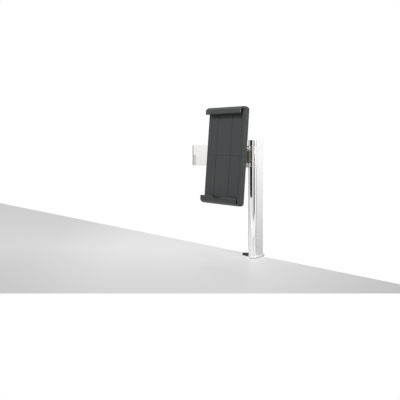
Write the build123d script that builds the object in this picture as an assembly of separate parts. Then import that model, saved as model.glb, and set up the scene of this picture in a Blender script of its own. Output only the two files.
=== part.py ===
"""Tablet clamp mount: table clamp, column, two-link folding arm, tilting head, centring holder.

Millimetres, +Z up. The origin is the middle of the column's foot on the table top, X runs
along the table edge, Y points away from the user.
"""
import math
import os

from build123d import *

# Driving sizes: column and foot
COLUMN_TOP = 260.0
COLUMN_WIDTH = 19.2
COLUMN_DEPTH = 34.7
COLUMN_WALL = 1.8
COLUMN_BACK_CORNER = 1.5
GROOVE_WIDTH = 1.4
GROOVE_DEPTH = 1.3
GROOVE_BEHIND_NOSE = 1.5
WEB_MARGIN = 1.4
CHANNEL_WALL = 1.7
CAP_DEPTH = 3.0
CAP_PLUG = 9.0

# Driving sizes: clamp
PAD_THICKNESS = 1.2
JAW_PLATE = 2.2
TRIM_PLATE = 1.6
TRIM_SKIRT = 1.3
TRIM_OVERHANG = 0.7
SPINE_THICKNESS = 4.5
THROAT = 64.2
LOWER_ARM = 7.0
BOSS_RADIUS = 8.5
BOSS_EXTRA = 2.0
LUG_REACH = 27.0
LUG_RADIUS = 8.5
LUG_Y = 2.65
LUG_HOLE = 4.4
LUG_SINK = 6.4
SPINDLE_RADIUS = 4.0
SPINDLE_PITCH = 1.25
REST_TABLE = 20.0
PRESS_RADIUS = 14.0
PRESS_PLATE = 2.5
PRESS_RUBBER = 2.0
HUB_HEIGHT = 4.0
KNOB_RADIUS = 17.0
KNOB_HEIGHT = 16.0
KNOB_LOBES = 6
KNOB_DROP = 65.0

# Driving sizes: small fasteners and fits
M4_RADIUS = 2.0
M4_HEAD = 3.8
M4_LENGTH = 24.0
RUN_FIT = 0.05
SEAT_FIT = 0.02
FREE_GAP = 0.4
PLAY = 0.15

# Driving sizes: arm
ARM_LOW = 199.5
ARM_HEIGHT = 48.0
LINK_THICKNESS = 9.6
LINK_GAP = 1.6
LINK_BACK_Y = -8.35
ELBOW_X = -161.2
KNUCKLE_GAP = 0.5
SLEEVE_WALL = 1.4
SLEEVE_FILLET = 5.0
ELBOW_PIN = 3.0
BUSH_WALL = 1.2
HEAD_BOLT_RADIUS = 5.2
HEAD_BOLT_HEIGHT = 3.0
NUT_FLATS = 10.0
NUT_HEIGHT = 4.0
CAP_THICKNESS = 1.4
LOCK_Z = 223.5
LOCK_Y = 0.8
LOCK_SCREW = 3.0
LOCK_BLOCK = 13.0
LOCK_KNOB = 7.6
LOCK_KNOB_WIDTH = 12.0
LOCK_TRAVEL = 3.0
LOCK_TIP = 1.5

# Driving sizes: head
SWIVEL_X = -13.0
SWIVEL_Y = -29.35
SWIVEL_RADIUS = 10.0
FORK_HEIGHT = 10.0
SWIVEL_CLEAR = 16.5
SWIVEL_PIN = 3.5
TILT_REACH = 19.0
TILT_BARREL = 7.0
TILT_HALF_WIDTH = 5.5
EAR_THICKNESS = 4.0
EAR_RADIUS = 8.0
TILT_BOLT = 3.0
TILT_NUT_HEIGHT = 3.0
TILT_WASHER = 1.0
FLANGE_RADIUS = 18.0
FLANGE_THICKNESS = 4.6
WASHER_THICKNESS = 0.6
SPINDLE_HEAD = 5.0
BALL_RADIUS = 1.5
BALL_RING = 12.5
DIMPLE_DEPTH = 0.4

# Driving sizes: holder, in its own frame: u across, v along, w out of the face
TILT_BACK = 5.53
FACE_TO_TILT = 45.4
HALF_LENGTH = 102.6
HALF_WIDTH = 48.3
BODY_DEPTH = 22.0
SHELL_WALL = 2.2
SIDE_WALL = 2.4
BACK_CORNER = 6.0
FACE_CHAMFER = 3.0
PANEL_THICKNESS = 2.0
PANEL_GAP = 0.5
PANEL_GROOVE_U = 19.35
PANEL_GROOVE = 1.0
PANEL_GROOVE_DEPTH = 0.8
HOOK_FRONT = 12.3
LIP_THICKNESS = 3.7
LIP_LENGTH = 11.5
HOOK_WALL = 5.1
HOOK_BACK_RADIUS = 10.0
HOOK_FRONT_RADIUS = 6.5
HOOK_INNER_RADIUS = 2.4
SEAM_GAP = 0.3
NOTCH_HALF = 11.0
NOTCH_DEPTH = 3.5
RELIEF_HALF = 19.4
RELIEF_DEPTH = 1.4
RELIEF_WIDTH = 6.0
LINER_THICKNESS = 1.2
LINER_HALF = 40.0
CARRIER_HALF_WIDTH = 42.0
CARRIER_THICKNESS = 3.5
CARRIER_CORNER = 5.0
SLOT_U = 28.0
SLOT_WIDTH = 9.0
SLOT_MARGIN = 14.0
RAIL_THICKNESS = 1.6
JAW_TRAVEL = 55.0
GEAR_MODULE = 1.0
PINION_TEETH = 14
GEAR_WIDTH = 4.8
RACK_BACK = 5.0
AXLE_RADIUS = 2.5
BARREL_RADIUS = 13.0
DRUM_WALL = 1.2
SPRING_TURNS = 4
SPRING_STRIP = 0.5
COVER_THICKNESS = 1.8
COVER_WAIST = 9.0
POST_RADIUS = 3.4
POST_U = 19.0
POST_V = 16.0
PANEL_SCREW_U = 30.0
PANEL_POST = 8.0
HUB_RADIUS = 15.0
SMALL_SCREW = 1.25
SMALL_HEAD = 2.3
SMALL_HEAD_HEIGHT = 1.2
SCREW_FROM_HOOK = 6.5
CARRIER_STOP = 3.6

# Sizes that follow from the ones above
HALF_COLUMN = COLUMN_WIDTH / 2
NOSE_Y = -COLUMN_DEPTH / 2 + HALF_COLUMN
BACK_Y = COLUMN_DEPTH / 2
JAW_TOP = PAD_THICKNESS + JAW_PLATE
COLUMN_FOOT = JAW_TOP + TRIM_PLATE
GROOVE_Y = NOSE_Y + GROOVE_BEHIND_NOSE
CHANNEL_BACK_Y = BACK_Y - COLUMN_WALL - M4_RADIUS - CHANNEL_WALL / 2
SPINE_Y = BACK_Y + PLAY
ARM_TOP = ARM_LOW + ARM_HEIGHT
ARM_MID = ARM_LOW + ARM_HEIGHT / 2
REAR_FRONT_Y = LINK_BACK_Y - LINK_THICKNESS
ELBOW_Y = REAR_FRONT_Y - LINK_GAP / 2
KNUCKLE_RADIUS = LINK_THICKNESS + LINK_GAP / 2
FRONT_BACK_Y = REAR_FRONT_Y - LINK_GAP
FRONT_FRONT_Y = FRONT_BACK_Y - LINK_THICKNESS
TILT_Y = SWIVEL_Y - TILT_REACH
LEAN = math.radians(TILT_BACK)
FACE_Y = TILT_Y - FACE_TO_TILT * math.cos(LEAN)
FACE_Z = ARM_MID + FACE_TO_TILT * math.sin(LEAN)
PITCH_RADIUS = GEAR_MODULE * PINION_TEETH / 2
SCREW_ROW = HALF_LENGTH - HOOK_WALL - SCREW_FROM_HOOK
CARRIER_HALF_LENGTH = SCREW_ROW - POST_RADIUS - CARRIER_STOP
BARREL_HEIGHT = (BODY_DEPTH - SHELL_WALL - CARRIER_THICKNESS - GEAR_WIDTH - COVER_THICKNESS
                 - PANEL_THICKNESS - SMALL_HEAD_HEIGHT - 4 * FREE_GAP - 2 * PLAY)
HOLDER = Plane(
    origin=(SWIVEL_X, FACE_Y, FACE_Z),
    x_dir=(1, 0, 0),
    z_dir=(0, -math.cos(LEAN), math.sin(LEAN)),
).location


def box_between(x0, x1, y0, y1, z0, z1):
    """Box from its two corners."""
    middle = Pos((x0 + x1) / 2, (y0 + y1) / 2, (z0 + z1) / 2)
    return middle * Box(abs(x1 - x0), abs(y1 - y0), abs(z1 - z0))


def rod(x, y, z0, z1, radius):
    """Upright cylinder from z0 to z1."""
    return Pos(x, y, (z0 + z1) / 2) * Cylinder(radius, z1 - z0)


def rod_x(x0, x1, y, z, radius):
    """Cylinder along X from x0 to x1."""
    return Pos((x0 + x1) / 2, y, z) * Rot(0, 90, 0) * Cylinder(radius, x1 - x0)


def outline(points):
    """Flat face from a closed run of points."""
    return make_face(Polyline(*points, close=True))


def rounded(face, corners):
    """Round the corners of a flat face that lie nearest to the given points."""
    for x, y, radius in corners:
        near = face.vertices().sort_by_distance((x, y, 0))[0]
        face = fillet(near, radius)
    return face


def soften(solid, z, width):
    """Bevel the edges that lie in the level plane at z."""
    edges = [e for e in solid.edges() if abs(e.bounding_box().min.Z - z) < SEAT_FIT
             and abs(e.bounding_box().max.Z - z) < SEAT_FIT]
    return chamfer(edges, width)


def screw_down(x, y, z_top, length, radius, head):
    """Countersunk screw whose flat head is at z_top and whose tip points down."""
    cone = Pos(x, y, z_top - head / 4) * Cone(radius, head, head / 2)
    shank = rod(x, y, z_top - length, z_top - head / 4, radius)
    drive = rod(x, y, z_top - head / 4, z_top + 1, radius * 0.6)
    return cone + shank - drive


# Column and table clamp


def column_outline(inset):
    """Section of the column, drawn in by the given amount."""
    half = HALF_COLUMN - inset
    back = BACK_Y - inset
    corner = max(COLUMN_BACK_CORNER - inset, 0.3)
    block = outline([(-half, NOSE_Y), (half, NOSE_Y), (half, back), (-half, back)])
    block = rounded(block, [(half, back, corner), (-half, back, corner)])
    return block + Pos(0, NOSE_Y) * Circle(half)


def column():
    """Hollow section with a web behind the nose, two side grooves and two screw channels."""
    section = column_outline(0) - column_outline(COLUMN_WALL)
    web_half = GROOVE_WIDTH / 2 + WEB_MARGIN
    web = Pos(0, GROOVE_Y) * Rectangle(COLUMN_WIDTH - COLUMN_WALL, 2 * web_half)
    boss = M4_RADIUS + CHANNEL_WALL
    section = section + web
    section = section + Pos(0, GROOVE_Y) * Circle(boss) + Pos(0, CHANNEL_BACK_Y) * Circle(boss)
    section = section & column_outline(0)
    for y in (GROOVE_Y, CHANNEL_BACK_Y):
        section = section - Pos(0, y) * Circle(M4_RADIUS + PLAY)
    for side in (-1, 1):
        groove = Rectangle(2 * GROOVE_DEPTH, GROOVE_WIDTH)
        section = section - Pos(side * HALF_COLUMN, GROOVE_Y) * groove
    body = Pos(0, 0, COLUMN_FOOT) * extrude(section, COLUMN_TOP - COLUMN_FOOT)
    pocket = Pos(0, 0, COLUMN_TOP - CAP_DEPTH) * extrude(column_outline(COLUMN_WALL), CAP_DEPTH)
    return body - pocket


def column_cap():
    """Lid sunk flush in the top of the section, with two plugs that grip the hollows."""
    lid = extrude(column_outline(COLUMN_WALL + PLAY), CAP_DEPTH)
    lid = Pos(0, 0, COLUMN_TOP - CAP_DEPTH) * lid
    web_half = GROOVE_WIDTH / 2 + WEB_MARGIN
    inner = extrude(column_outline(COLUMN_WALL + PLAY), -CAP_PLUG)
    inner = inner - extrude(column_outline(2 * COLUMN_WALL + PLAY), -CAP_PLUG)
    inner = Pos(0, 0, COLUMN_TOP - CAP_DEPTH) * inner
    keep_out = [Pos(0, GROOVE_Y) * Rectangle(COLUMN_WIDTH, 2 * web_half + 2 * PLAY)]
    boss = M4_RADIUS + CHANNEL_WALL + PLAY
    keep_out.append(Pos(0, GROOVE_Y) * Circle(boss))
    keep_out.append(Pos(0, CHANNEL_BACK_Y) * Circle(boss))
    for shape in keep_out:
        inner = inner - Pos(0, 0, COLUMN_TOP - CAP_DEPTH) * extrude(shape, -CAP_PLUG)
    return lid + inner


def tongue_outline(inset):
    """Plan of the jaw plate under the column, with the rounded lug on the left."""
    half = HALF_COLUMN + TRIM_OVERHANG - TRIM_SKIRT - PLAY - inset
    front = NOSE_Y - HALF_COLUMN - TRIM_OVERHANG + TRIM_SKIRT + PLAY + inset
    back = SPINE_Y + SPINE_THICKNESS - inset
    plan = outline([(-half, front + half), (half, front + half), (half, back), (-half, back)])
    plan = plan + Pos(0, front + half) * Circle(half)
    lug = LUG_RADIUS - inset
    neck = outline([(-LUG_REACH, LUG_Y - lug), (-half + 1, LUG_Y - lug),
                    (-half + 1, LUG_Y + lug), (-LUG_REACH, LUG_Y + lug)])
    return plan + neck + Pos(-LUG_REACH, LUG_Y) * Circle(lug)


def clamp_plate():
    """Steel jaw plate under the column, with the lug's hole and the sinks of the column's screws."""
    body = Pos(0, 0, PAD_THICKNESS) * extrude(tongue_outline(0), JAW_PLATE)
    body = body - box_between(-COLUMN_WIDTH, COLUMN_WIDTH, SPINE_Y, 2 * COLUMN_DEPTH, 0, COLUMN_FOOT)
    for y in (GROOVE_Y, CHANNEL_BACK_Y):
        body = body - rod(0, y, -1, COLUMN_FOOT, M4_RADIUS + PLAY)
        sink = Pos(0, y, PAD_THICKNESS + M4_HEAD / 4) * Cone(M4_HEAD + PLAY, M4_RADIUS + PLAY,
                                                             M4_HEAD / 2)
        body = body - sink
    body = body - rod(-LUG_REACH, LUG_Y, -1, COLUMN_FOOT, LUG_HOLE / 2)
    sink_depth = (LUG_SINK - LUG_HOLE) / 2
    sink = Cone(LUG_HOLE / 2, LUG_SINK / 2, sink_depth)
    return body - Pos(-LUG_REACH, LUG_Y, JAW_TOP - sink_depth / 2) * sink


def clamp_bracket():
    """Steel angle welded behind the jaw plate: spine and lower arm with a boss."""
    half = HALF_COLUMN + TRIM_OVERHANG - TRIM_SKIRT - PLAY
    arm_top = -THROAT
    arm_low = arm_top - LOWER_ARM
    spine_back = SPINE_Y + SPINE_THICKNESS
    spine = box_between(-half, half, SPINE_Y, spine_back, arm_low, JAW_TOP)
    arm_plan = outline([(-half, 0), (half, 0), (half, spine_back), (-half, spine_back)])
    arm_plan = arm_plan + Circle(half)
    arm = Pos(0, 0, arm_low) * extrude(arm_plan, LOWER_ARM)
    boss = rod(0, 0, arm_low - BOSS_EXTRA, arm_top + BOSS_EXTRA, BOSS_RADIUS)
    body = spine + arm + boss
    edges = [e for e in body.edges() if e.length > THROAT * 0.8
             and abs(e.center().Y - spine_back) < SEAT_FIT]
    body = chamfer(edges, SPINE_THICKNESS / 3)
    return body - rod(0, 0, -2 * THROAT, 0, SPINDLE_RADIUS + BUSH_WALL + SEAT_FIT)


def clamp_pad():
    """Rubber sheet under the jaw plate, open round the screw heads and the lug's hole."""
    pad = extrude(tongue_outline(PLAY), PAD_THICKNESS)
    pad = pad - box_between(-COLUMN_WIDTH, COLUMN_WIDTH, SPINE_Y - FREE_GAP, 2 * COLUMN_DEPTH,
                            -1, COLUMN_FOOT)
    for y in (GROOVE_Y, CHANNEL_BACK_Y):
        pad = pad - rod(0, y, -1, COLUMN_FOOT, M4_HEAD + FREE_GAP)
    return pad - rod(-LUG_REACH, LUG_Y, -1, COLUMN_FOOT, LUG_HOLE / 2 + FREE_GAP)


def foot_trim():
    """Silver tray between column and jaw plate, its skirt hides the plate's edge."""
    half = HALF_COLUMN + TRIM_OVERHANG
    front = NOSE_Y - HALF_COLUMN - TRIM_OVERHANG
    back = SPINE_Y + SPINE_THICKNESS
    plan = outline([(-half, front + half), (half, front + half), (half, back), (-half, back)])
    plan = plan + Pos(0, front + half) * Circle(half)
    body = Pos(0, 0, PAD_THICKNESS) * extrude(plan, COLUMN_FOOT - PAD_THICKNESS)
    inner = half - TRIM_SKIRT
    middle = front + TRIM_SKIRT + inner
    room = outline([(-inner, middle), (inner, middle), (inner, 2 * back), (-inner, 2 * back)])
    room = room + Pos(0, middle) * Circle(inner)
    body = body - extrude(room, JAW_TOP)
    gate = LUG_RADIUS + FREE_GAP
    body = body - box_between(-2 * half, 0, LUG_Y - gate, LUG_Y + gate, -1, JAW_TOP)
    for y in (GROOVE_Y, CHANNEL_BACK_Y):
        body = body - rod(0, y, 0, COLUMN_TOP, M4_RADIUS + PLAY)
    return soften(body, COLUMN_FOOT, 0.5)


def column_screws():
    """Two countersunk screws from under the jaw plate up into the column's channels."""
    screws = []
    for y in (GROOVE_Y, CHANNEL_BACK_Y):
        screw = screw_down(0, 0, 0, M4_LENGTH, M4_RADIUS, M4_HEAD)
        screws.append(Pos(0, y, PAD_THICKNESS) * Rot(180, 0, 0) * screw)
    return Compound(screws)


def clamp_bush():
    """Threaded sleeve in the boss of the lower arm, with a collar below."""
    low = -THROAT - LOWER_ARM - BOSS_EXTRA
    sleeve = rod(0, 0, low, -THROAT + BOSS_EXTRA, SPINDLE_RADIUS + BUSH_WALL)
    sleeve = sleeve + rod(0, 0, low - BUSH_WALL, low, SPINDLE_RADIUS + 2 * BUSH_WALL)
    return sleeve - rod(0, 0, low - 9, 0, SPINDLE_RADIUS + RUN_FIT)


def press_low():
    """Height of the pressure plate's underside at rest."""
    return -REST_TABLE - PRESS_RUBBER - PRESS_PLATE


def clamp_spindle():
    """Spindle with a neck for the pressure plate; its thread is left to the looks."""
    top = press_low() - FREE_GAP
    low = top - KNOB_DROP - KNOB_HEIGHT
    neck = SPINDLE_RADIUS * 0.6
    body = rod(0, 0, low + 2, top, SPINDLE_RADIUS)
    body = body + rod(0, 0, top, top + PRESS_PLATE * 0.6, neck)
    return body


def clamp_knob():
    """Lobed hand knob with a rounded rim and a blind socket for the spindle."""
    top = press_low() - FREE_GAP - KNOB_DROP
    low = top - KNOB_HEIGHT
    body = rod(0, 0, low, top, KNOB_RADIUS)
    for i in range(KNOB_LOBES):
        angle = 2 * math.pi * (i + 0.5) / KNOB_LOBES
        reach = KNOB_RADIUS * 1.22
        body = body - rod(reach * math.cos(angle), reach * math.sin(angle), low - 1, top + 1,
                          KNOB_RADIUS * 0.42)
    body = soften(body, low, 2.0)
    body = soften(body, top, 1.2)
    return body - rod(0, 0, low + 2 - SEAT_FIT, top + 1, SPINDLE_RADIUS + SEAT_FIT)


def pressure_plate():
    """Round steel plate with a hub that hangs on the spindle's neck."""
    low = press_low()
    plate = rod(0, 0, low, low + PRESS_PLATE, PRESS_RADIUS)
    plate = soften(plate, low, 0.8)
    hub = rod(0, 0, low - HUB_HEIGHT, low, SPINDLE_RADIUS + 2 * BUSH_WALL)
    socket = rod(0, 0, low - HUB_HEIGHT - 1, low - FREE_GAP / 2, SPINDLE_RADIUS + RUN_FIT)
    neck = rod(0, 0, low - 1, low + PRESS_PLATE * 0.7, SPINDLE_RADIUS * 0.6 + RUN_FIT)
    return plate + hub - socket - neck


def pressure_pad():
    """Rubber disc on top of the pressure plate."""
    low = press_low() + PRESS_PLATE
    return soften(rod(0, 0, low, low + PRESS_RUBBER, PRESS_RADIUS - 0.6), low + PRESS_RUBBER, 0.6)


# Arm


def link_rear():
    """Rear link: plate, lower elbow knuckle and the collar that slides on the column's nose."""
    collar_in = HALF_COLUMN + PLAY
    collar_out = collar_in + SLEEVE_WALL
    plate = outline([(ELBOW_X, REAR_FRONT_Y), (-2, REAR_FRONT_Y), (-2, LINK_BACK_Y),
                     (ELBOW_X, LINK_BACK_Y)])
    tall = plate + Pos(0, NOSE_Y) * Circle(collar_out)
    lip_y = GROOVE_Y + GROOVE_WIDTH / 2 - PLAY
    tall = tall + outline([(-collar_out, NOSE_Y), (collar_out, NOSE_Y), (collar_out, lip_y),
                           (-collar_out, lip_y)])
    tall = tall & outline([(ELBOW_X, -COLUMN_DEPTH), (COLUMN_WIDTH, -COLUMN_DEPTH),
                           (COLUMN_WIDTH, lip_y), (ELBOW_X, lip_y)])
    meet = -math.sqrt(collar_out ** 2 - (REAR_FRONT_Y - NOSE_Y) ** 2)
    tall = rounded(tall, [(meet, REAR_FRONT_Y, SLEEVE_FILLET)])
    room = outline([(-collar_in, NOSE_Y), (collar_in, NOSE_Y), (collar_in, COLUMN_DEPTH),
                    (-collar_in, COLUMN_DEPTH)])
    tall = tall - room - Pos(0, NOSE_Y) * Circle(collar_in)
    hook_low = GROOVE_Y - GROOVE_WIDTH / 2 + PLAY
    for side in (-1, 1):
        inner = side * (HALF_COLUMN - GROOVE_DEPTH + PLAY)
        outer = side * (collar_in + SLEEVE_WALL / 2)
        tall = tall + outline([(inner, hook_low), (outer, hook_low), (outer, lip_y),
                               (inner, lip_y)])
    body = Pos(0, 0, ARM_LOW) * extrude(tall, ARM_HEIGHT)
    lower = Pos(0, 0, ARM_LOW) * extrude(Pos(ELBOW_X, ELBOW_Y) * Circle(KNUCKLE_RADIUS),
                                         ARM_HEIGHT / 2 - KNUCKLE_GAP / 2)
    sweep = rod(ELBOW_X, ELBOW_Y, ARM_MID - KNUCKLE_GAP / 2, ARM_TOP + 1,
                KNUCKLE_RADIUS + FREE_GAP)
    body = body - sweep + lower
    body = body - box_between(ELBOW_X - 1, ELBOW_X + FREE_GAP, ELBOW_Y, LINK_BACK_Y + 1,
                              ARM_MID - KNUCKLE_GAP / 2, ARM_TOP + 1)
    outside = -HALF_COLUMN - PLAY - LOCK_BLOCK
    block = box_between(outside, -collar_in, LINK_BACK_Y - 1, LOCK_Y + LOCK_KNOB,
                        LOCK_Z - LOCK_KNOB, LOCK_Z + LOCK_KNOB)
    edges = [e for e in block.edges() if abs(e.center().Y - LOCK_Y - LOCK_KNOB) < SEAT_FIT
             and abs(e.center().Z - LOCK_Z) > 1]
    body = body + fillet(edges, LOCK_KNOB / 2)
    body = body - rod_x(outside - 1, 0, LOCK_Y, LOCK_Z, LOCK_SCREW + RUN_FIT)
    body = body - rod_x(-collar_in - LOCK_TIP - LOCK_TRAVEL - PLAY, 0, LOCK_Y, LOCK_Z,
                        LOCK_SCREW + 2 * PLAY)
    body = body - elbow_bore(ARM_LOW, ARM_MID, SEAT_FIT)
    nut = extrude(RegularPolygon(NUT_FLATS / 2 + RUN_FIT, 6, major_radius=False),
                  NUT_HEIGHT + CAP_THICKNESS)
    body = body - Pos(ELBOW_X, ELBOW_Y, ARM_LOW) * nut
    return body - rod(ELBOW_X, ELBOW_Y, ARM_LOW - 1, ARM_LOW + CAP_THICKNESS, cap_radius() + RUN_FIT)


def cap_radius():
    """Radius of the small round caps on the pins."""
    return NUT_FLATS / 2 * 2 / math.sqrt(3) + 0.6


def elbow_bore(low, high, fit):
    """Room for the elbow bolt's shank."""
    return rod(ELBOW_X, ELBOW_Y, low - 1, high, ELBOW_PIN + fit)


def link_front():
    """Front link: plate, upper elbow knuckle and the fork that carries the head."""
    fork_x = SWIVEL_X
    plan = outline([(ELBOW_X, FRONT_FRONT_Y), (fork_x, FRONT_FRONT_Y), (fork_x, FRONT_BACK_Y),
                    (ELBOW_X, FRONT_BACK_Y)])
    fork = Pos(SWIVEL_X, SWIVEL_Y) * Circle(SWIVEL_RADIUS)
    meet_back = SWIVEL_X + math.sqrt(SWIVEL_RADIUS ** 2 - (FRONT_BACK_Y - SWIVEL_Y) ** 2)
    ramp = outline([(SWIVEL_X - 3.2 * SWIVEL_RADIUS, FRONT_FRONT_Y + 1),
                    (SWIVEL_X - 3.2 * SWIVEL_RADIUS, FRONT_FRONT_Y),
                    (SWIVEL_X - SWIVEL_RADIUS * 0.5, SWIVEL_Y - SWIVEL_RADIUS * 0.86),
                    (SWIVEL_X, SWIVEL_Y), (meet_back, FRONT_BACK_Y), (SWIVEL_X - 20, FRONT_BACK_Y)])
    full = plan + fork + ramp
    body = Pos(0, 0, ARM_LOW) * extrude(full, ARM_HEIGHT)
    lower_zone = box_between(ELBOW_X - 30, ELBOW_X + 30, FRONT_FRONT_Y - 30, LINK_BACK_Y + 9,
                             ARM_LOW - 1, ARM_MID + KNUCKLE_GAP / 2)
    lower_end = 3.4
    corner = 3.8
    plate_end = outline([(ELBOW_X + lower_end, FRONT_FRONT_Y), (ELBOW_X + 40, FRONT_FRONT_Y),
                         (ELBOW_X + 40, FRONT_BACK_Y), (ELBOW_X + lower_end, FRONT_BACK_Y)])
    plate_end = rounded(plate_end, [(ELBOW_X + lower_end, FRONT_FRONT_Y, corner)])
    plate_end = plate_end - Pos(ELBOW_X, ELBOW_Y) * Circle(KNUCKLE_RADIUS + FREE_GAP)
    lower_end_solid = Pos(0, 0, ARM_LOW) * extrude(plate_end, ARM_HEIGHT / 2 + KNUCKLE_GAP / 2)
    body = body - lower_zone + (lower_end_solid & lower_zone)
    upper = rod(ELBOW_X, ELBOW_Y, ARM_MID + KNUCKLE_GAP / 2, ARM_TOP, KNUCKLE_RADIUS)
    body = body + upper
    middle = rod(SWIVEL_X, SWIVEL_Y, ARM_LOW + FORK_HEIGHT, ARM_TOP - FORK_HEIGHT, SWIVEL_CLEAR)
    body = body - middle
    body = body - box_between(SWIVEL_X - 4 * SWIVEL_RADIUS, SWIVEL_X + 2 * SWIVEL_RADIUS,
                              FRONT_FRONT_Y - 2 * SWIVEL_RADIUS, FRONT_FRONT_Y,
                              ARM_LOW + FORK_HEIGHT, ARM_TOP - FORK_HEIGHT)
    body = body - elbow_bore(ARM_MID, ARM_TOP + 1, BUSH_WALL + SEAT_FIT)
    head_room = HEAD_BOLT_HEIGHT + CAP_THICKNESS
    body = body - rod(ELBOW_X, ELBOW_Y, ARM_TOP - head_room, ARM_TOP + 1, cap_radius() + RUN_FIT)
    body = body - rod(SWIVEL_X, SWIVEL_Y, ARM_LOW - 1, ARM_TOP + 1, SWIVEL_PIN + SEAT_FIT)
    for z0, z1 in ((ARM_LOW - 1, ARM_LOW + CAP_THICKNESS), (ARM_TOP - CAP_THICKNESS, ARM_TOP + 1)):
        body = body - rod(SWIVEL_X, SWIVEL_Y, z0, z1, cap_radius() + RUN_FIT)
    return body


def elbow_bolt():
    """Shoulder bolt through both knuckles, head in the upper one."""
    head_low = ARM_TOP - CAP_THICKNESS - HEAD_BOLT_HEIGHT
    body = rod(ELBOW_X, ELBOW_Y, ARM_LOW + CAP_THICKNESS + 0.4, head_low, ELBOW_PIN)
    body = body + rod(ELBOW_X, ELBOW_Y, head_low, head_low + HEAD_BOLT_HEIGHT - PLAY,
                      HEAD_BOLT_RADIUS)
    drive = extrude(RegularPolygon(2.0, 6, major_radius=False), HEAD_BOLT_HEIGHT)
    return body - Pos(ELBOW_X, ELBOW_Y, head_low + 1) * drive


def elbow_nut():
    """Hexagon nut in the lower knuckle."""
    nut = extrude(RegularPolygon(NUT_FLATS / 2, 6, major_radius=False), NUT_HEIGHT - PLAY)
    nut = Pos(ELBOW_X, ELBOW_Y, ARM_LOW + CAP_THICKNESS + PLAY) * nut
    return nut - elbow_bore(ARM_LOW, ARM_MID, SEAT_FIT)


def elbow_bushes():
    """Plain sleeve in the upper knuckle and the thin washer between the knuckles."""
    head_low = ARM_TOP - CAP_THICKNESS - HEAD_BOLT_HEIGHT
    low = ARM_MID + KNUCKLE_GAP / 2
    sleeve = rod(ELBOW_X, ELBOW_Y, low + RUN_FIT, head_low - RUN_FIT, ELBOW_PIN + BUSH_WALL)
    bore = elbow_bore(ARM_LOW, ARM_TOP, RUN_FIT)
    washer = rod(ELBOW_X, ELBOW_Y, ARM_MID - KNUCKLE_GAP / 2, low - RUN_FIT, KNUCKLE_RADIUS - 1)
    return Compound([sleeve - bore, washer - bore])


def pin_caps(x, y, bottom):
    """Round cap that closes the recess over a pin."""
    z = ARM_LOW if bottom else ARM_TOP - CAP_THICKNESS
    cap = rod(x, y, z, z + CAP_THICKNESS, cap_radius())
    return soften(cap, ARM_LOW if bottom else ARM_TOP, 0.4)


def lock_tip():
    """Soft disc that presses on the column's side."""
    start = -HALF_COLUMN - RUN_FIT
    return rod_x(start - LOCK_TIP, start, LOCK_Y, LOCK_Z, LOCK_SCREW)


def lock_screw():
    """Thumb screw of the height lock, with a reduced nose in the soft tip's place."""
    start = -HALF_COLUMN - RUN_FIT - LOCK_TIP
    end = -HALF_COLUMN - PLAY - LOCK_BLOCK - LOCK_TRAVEL
    return rod_x(end - LOCK_KNOB_WIDTH * 0.7, start, LOCK_Y, LOCK_Z, LOCK_SCREW)


def lock_knob():
    """Fluted knob of the height lock."""
    end = -HALF_COLUMN - PLAY - LOCK_BLOCK - FREE_GAP
    radius = LOCK_KNOB
    sketch = Circle(radius)
    for i in range(10):
        angle = 2 * math.pi * i / 10
        sketch = sketch - Pos(radius * math.cos(angle), radius * math.sin(angle)) * Circle(1.1)
    knob = extrude(sketch, LOCK_KNOB_WIDTH - 3)
    collar = Pos(0, 0, LOCK_KNOB_WIDTH - 3) * extrude(Circle(radius * 0.62), 3)
    knob = Pos(end - LOCK_KNOB_WIDTH, LOCK_Y, LOCK_Z) * Rot(0, 90, 0) * (knob + collar)
    low = -HALF_COLUMN - PLAY - LOCK_BLOCK - LOCK_TRAVEL - LOCK_KNOB_WIDTH * 0.7 - SEAT_FIT
    return knob - rod_x(low, 0, LOCK_Y, LOCK_Z, LOCK_SCREW + SEAT_FIT)


# Head


def swivel_bracket():
    """Middle knuckle on the swivel pin with two ears that hold the tilt bolt."""
    low = ARM_LOW + FORK_HEIGHT + KNUCKLE_GAP
    high = ARM_TOP - FORK_HEIGHT - KNUCKLE_GAP
    knuckle = rod(SWIVEL_X, SWIVEL_Y, low, high, SWIVEL_RADIUS)
    outer = TILT_HALF_WIDTH + FREE_GAP + EAR_THICKNESS
    side = outline([(SWIVEL_Y, low), (SWIVEL_Y, high), (TILT_Y, ARM_MID + EAR_RADIUS),
                    (TILT_Y, ARM_MID - EAR_RADIUS)])
    side = side + Pos(TILT_Y, ARM_MID) * Circle(EAR_RADIUS)
    ears = Pos(SWIVEL_X, 0, 0) * extrude(Plane.YZ * side, outer, both=True)
    swing = TILT_HALF_WIDTH + FREE_GAP
    gap = box_between(SWIVEL_X - swing, SWIVEL_X + swing, TILT_Y - 2 * EAR_RADIUS,
                      SWIVEL_Y - SWIVEL_RADIUS + 2, low - 1, high + 1)
    rear = box_between(SWIVEL_X - 30, SWIVEL_X + 30, SWIVEL_Y, SWIVEL_Y + 30, low - 1, high + 1)
    body = ears - rear + knuckle - gap
    body = body + (knuckle - rod_x(SWIVEL_X - 30, SWIVEL_X + 30, TILT_Y, ARM_MID,
                                   TILT_BARREL + 2 * FREE_GAP))
    body = body - rod(SWIVEL_X, SWIVEL_Y, ARM_LOW, ARM_TOP, SWIVEL_PIN + BUSH_WALL + SEAT_FIT)
    pocket = extrude(RegularPolygon(NUT_FLATS / 2 + RUN_FIT, 6, major_radius=False), outer)
    pocket = Pos(SWIVEL_X + outer - TILT_NUT_HEIGHT - PLAY, TILT_Y, ARM_MID) * Rot(0, 90, 0) * pocket
    body = body - pocket
    return body - rod_x(SWIVEL_X - 30, SWIVEL_X + 30, TILT_Y, ARM_MID, TILT_BOLT + SEAT_FIT)


def swivel_pin():
    """Plain pin through the fork and the bracket."""
    return rod(SWIVEL_X, SWIVEL_Y, ARM_LOW + CAP_THICKNESS, ARM_TOP - CAP_THICKNESS, SWIVEL_PIN)


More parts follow.
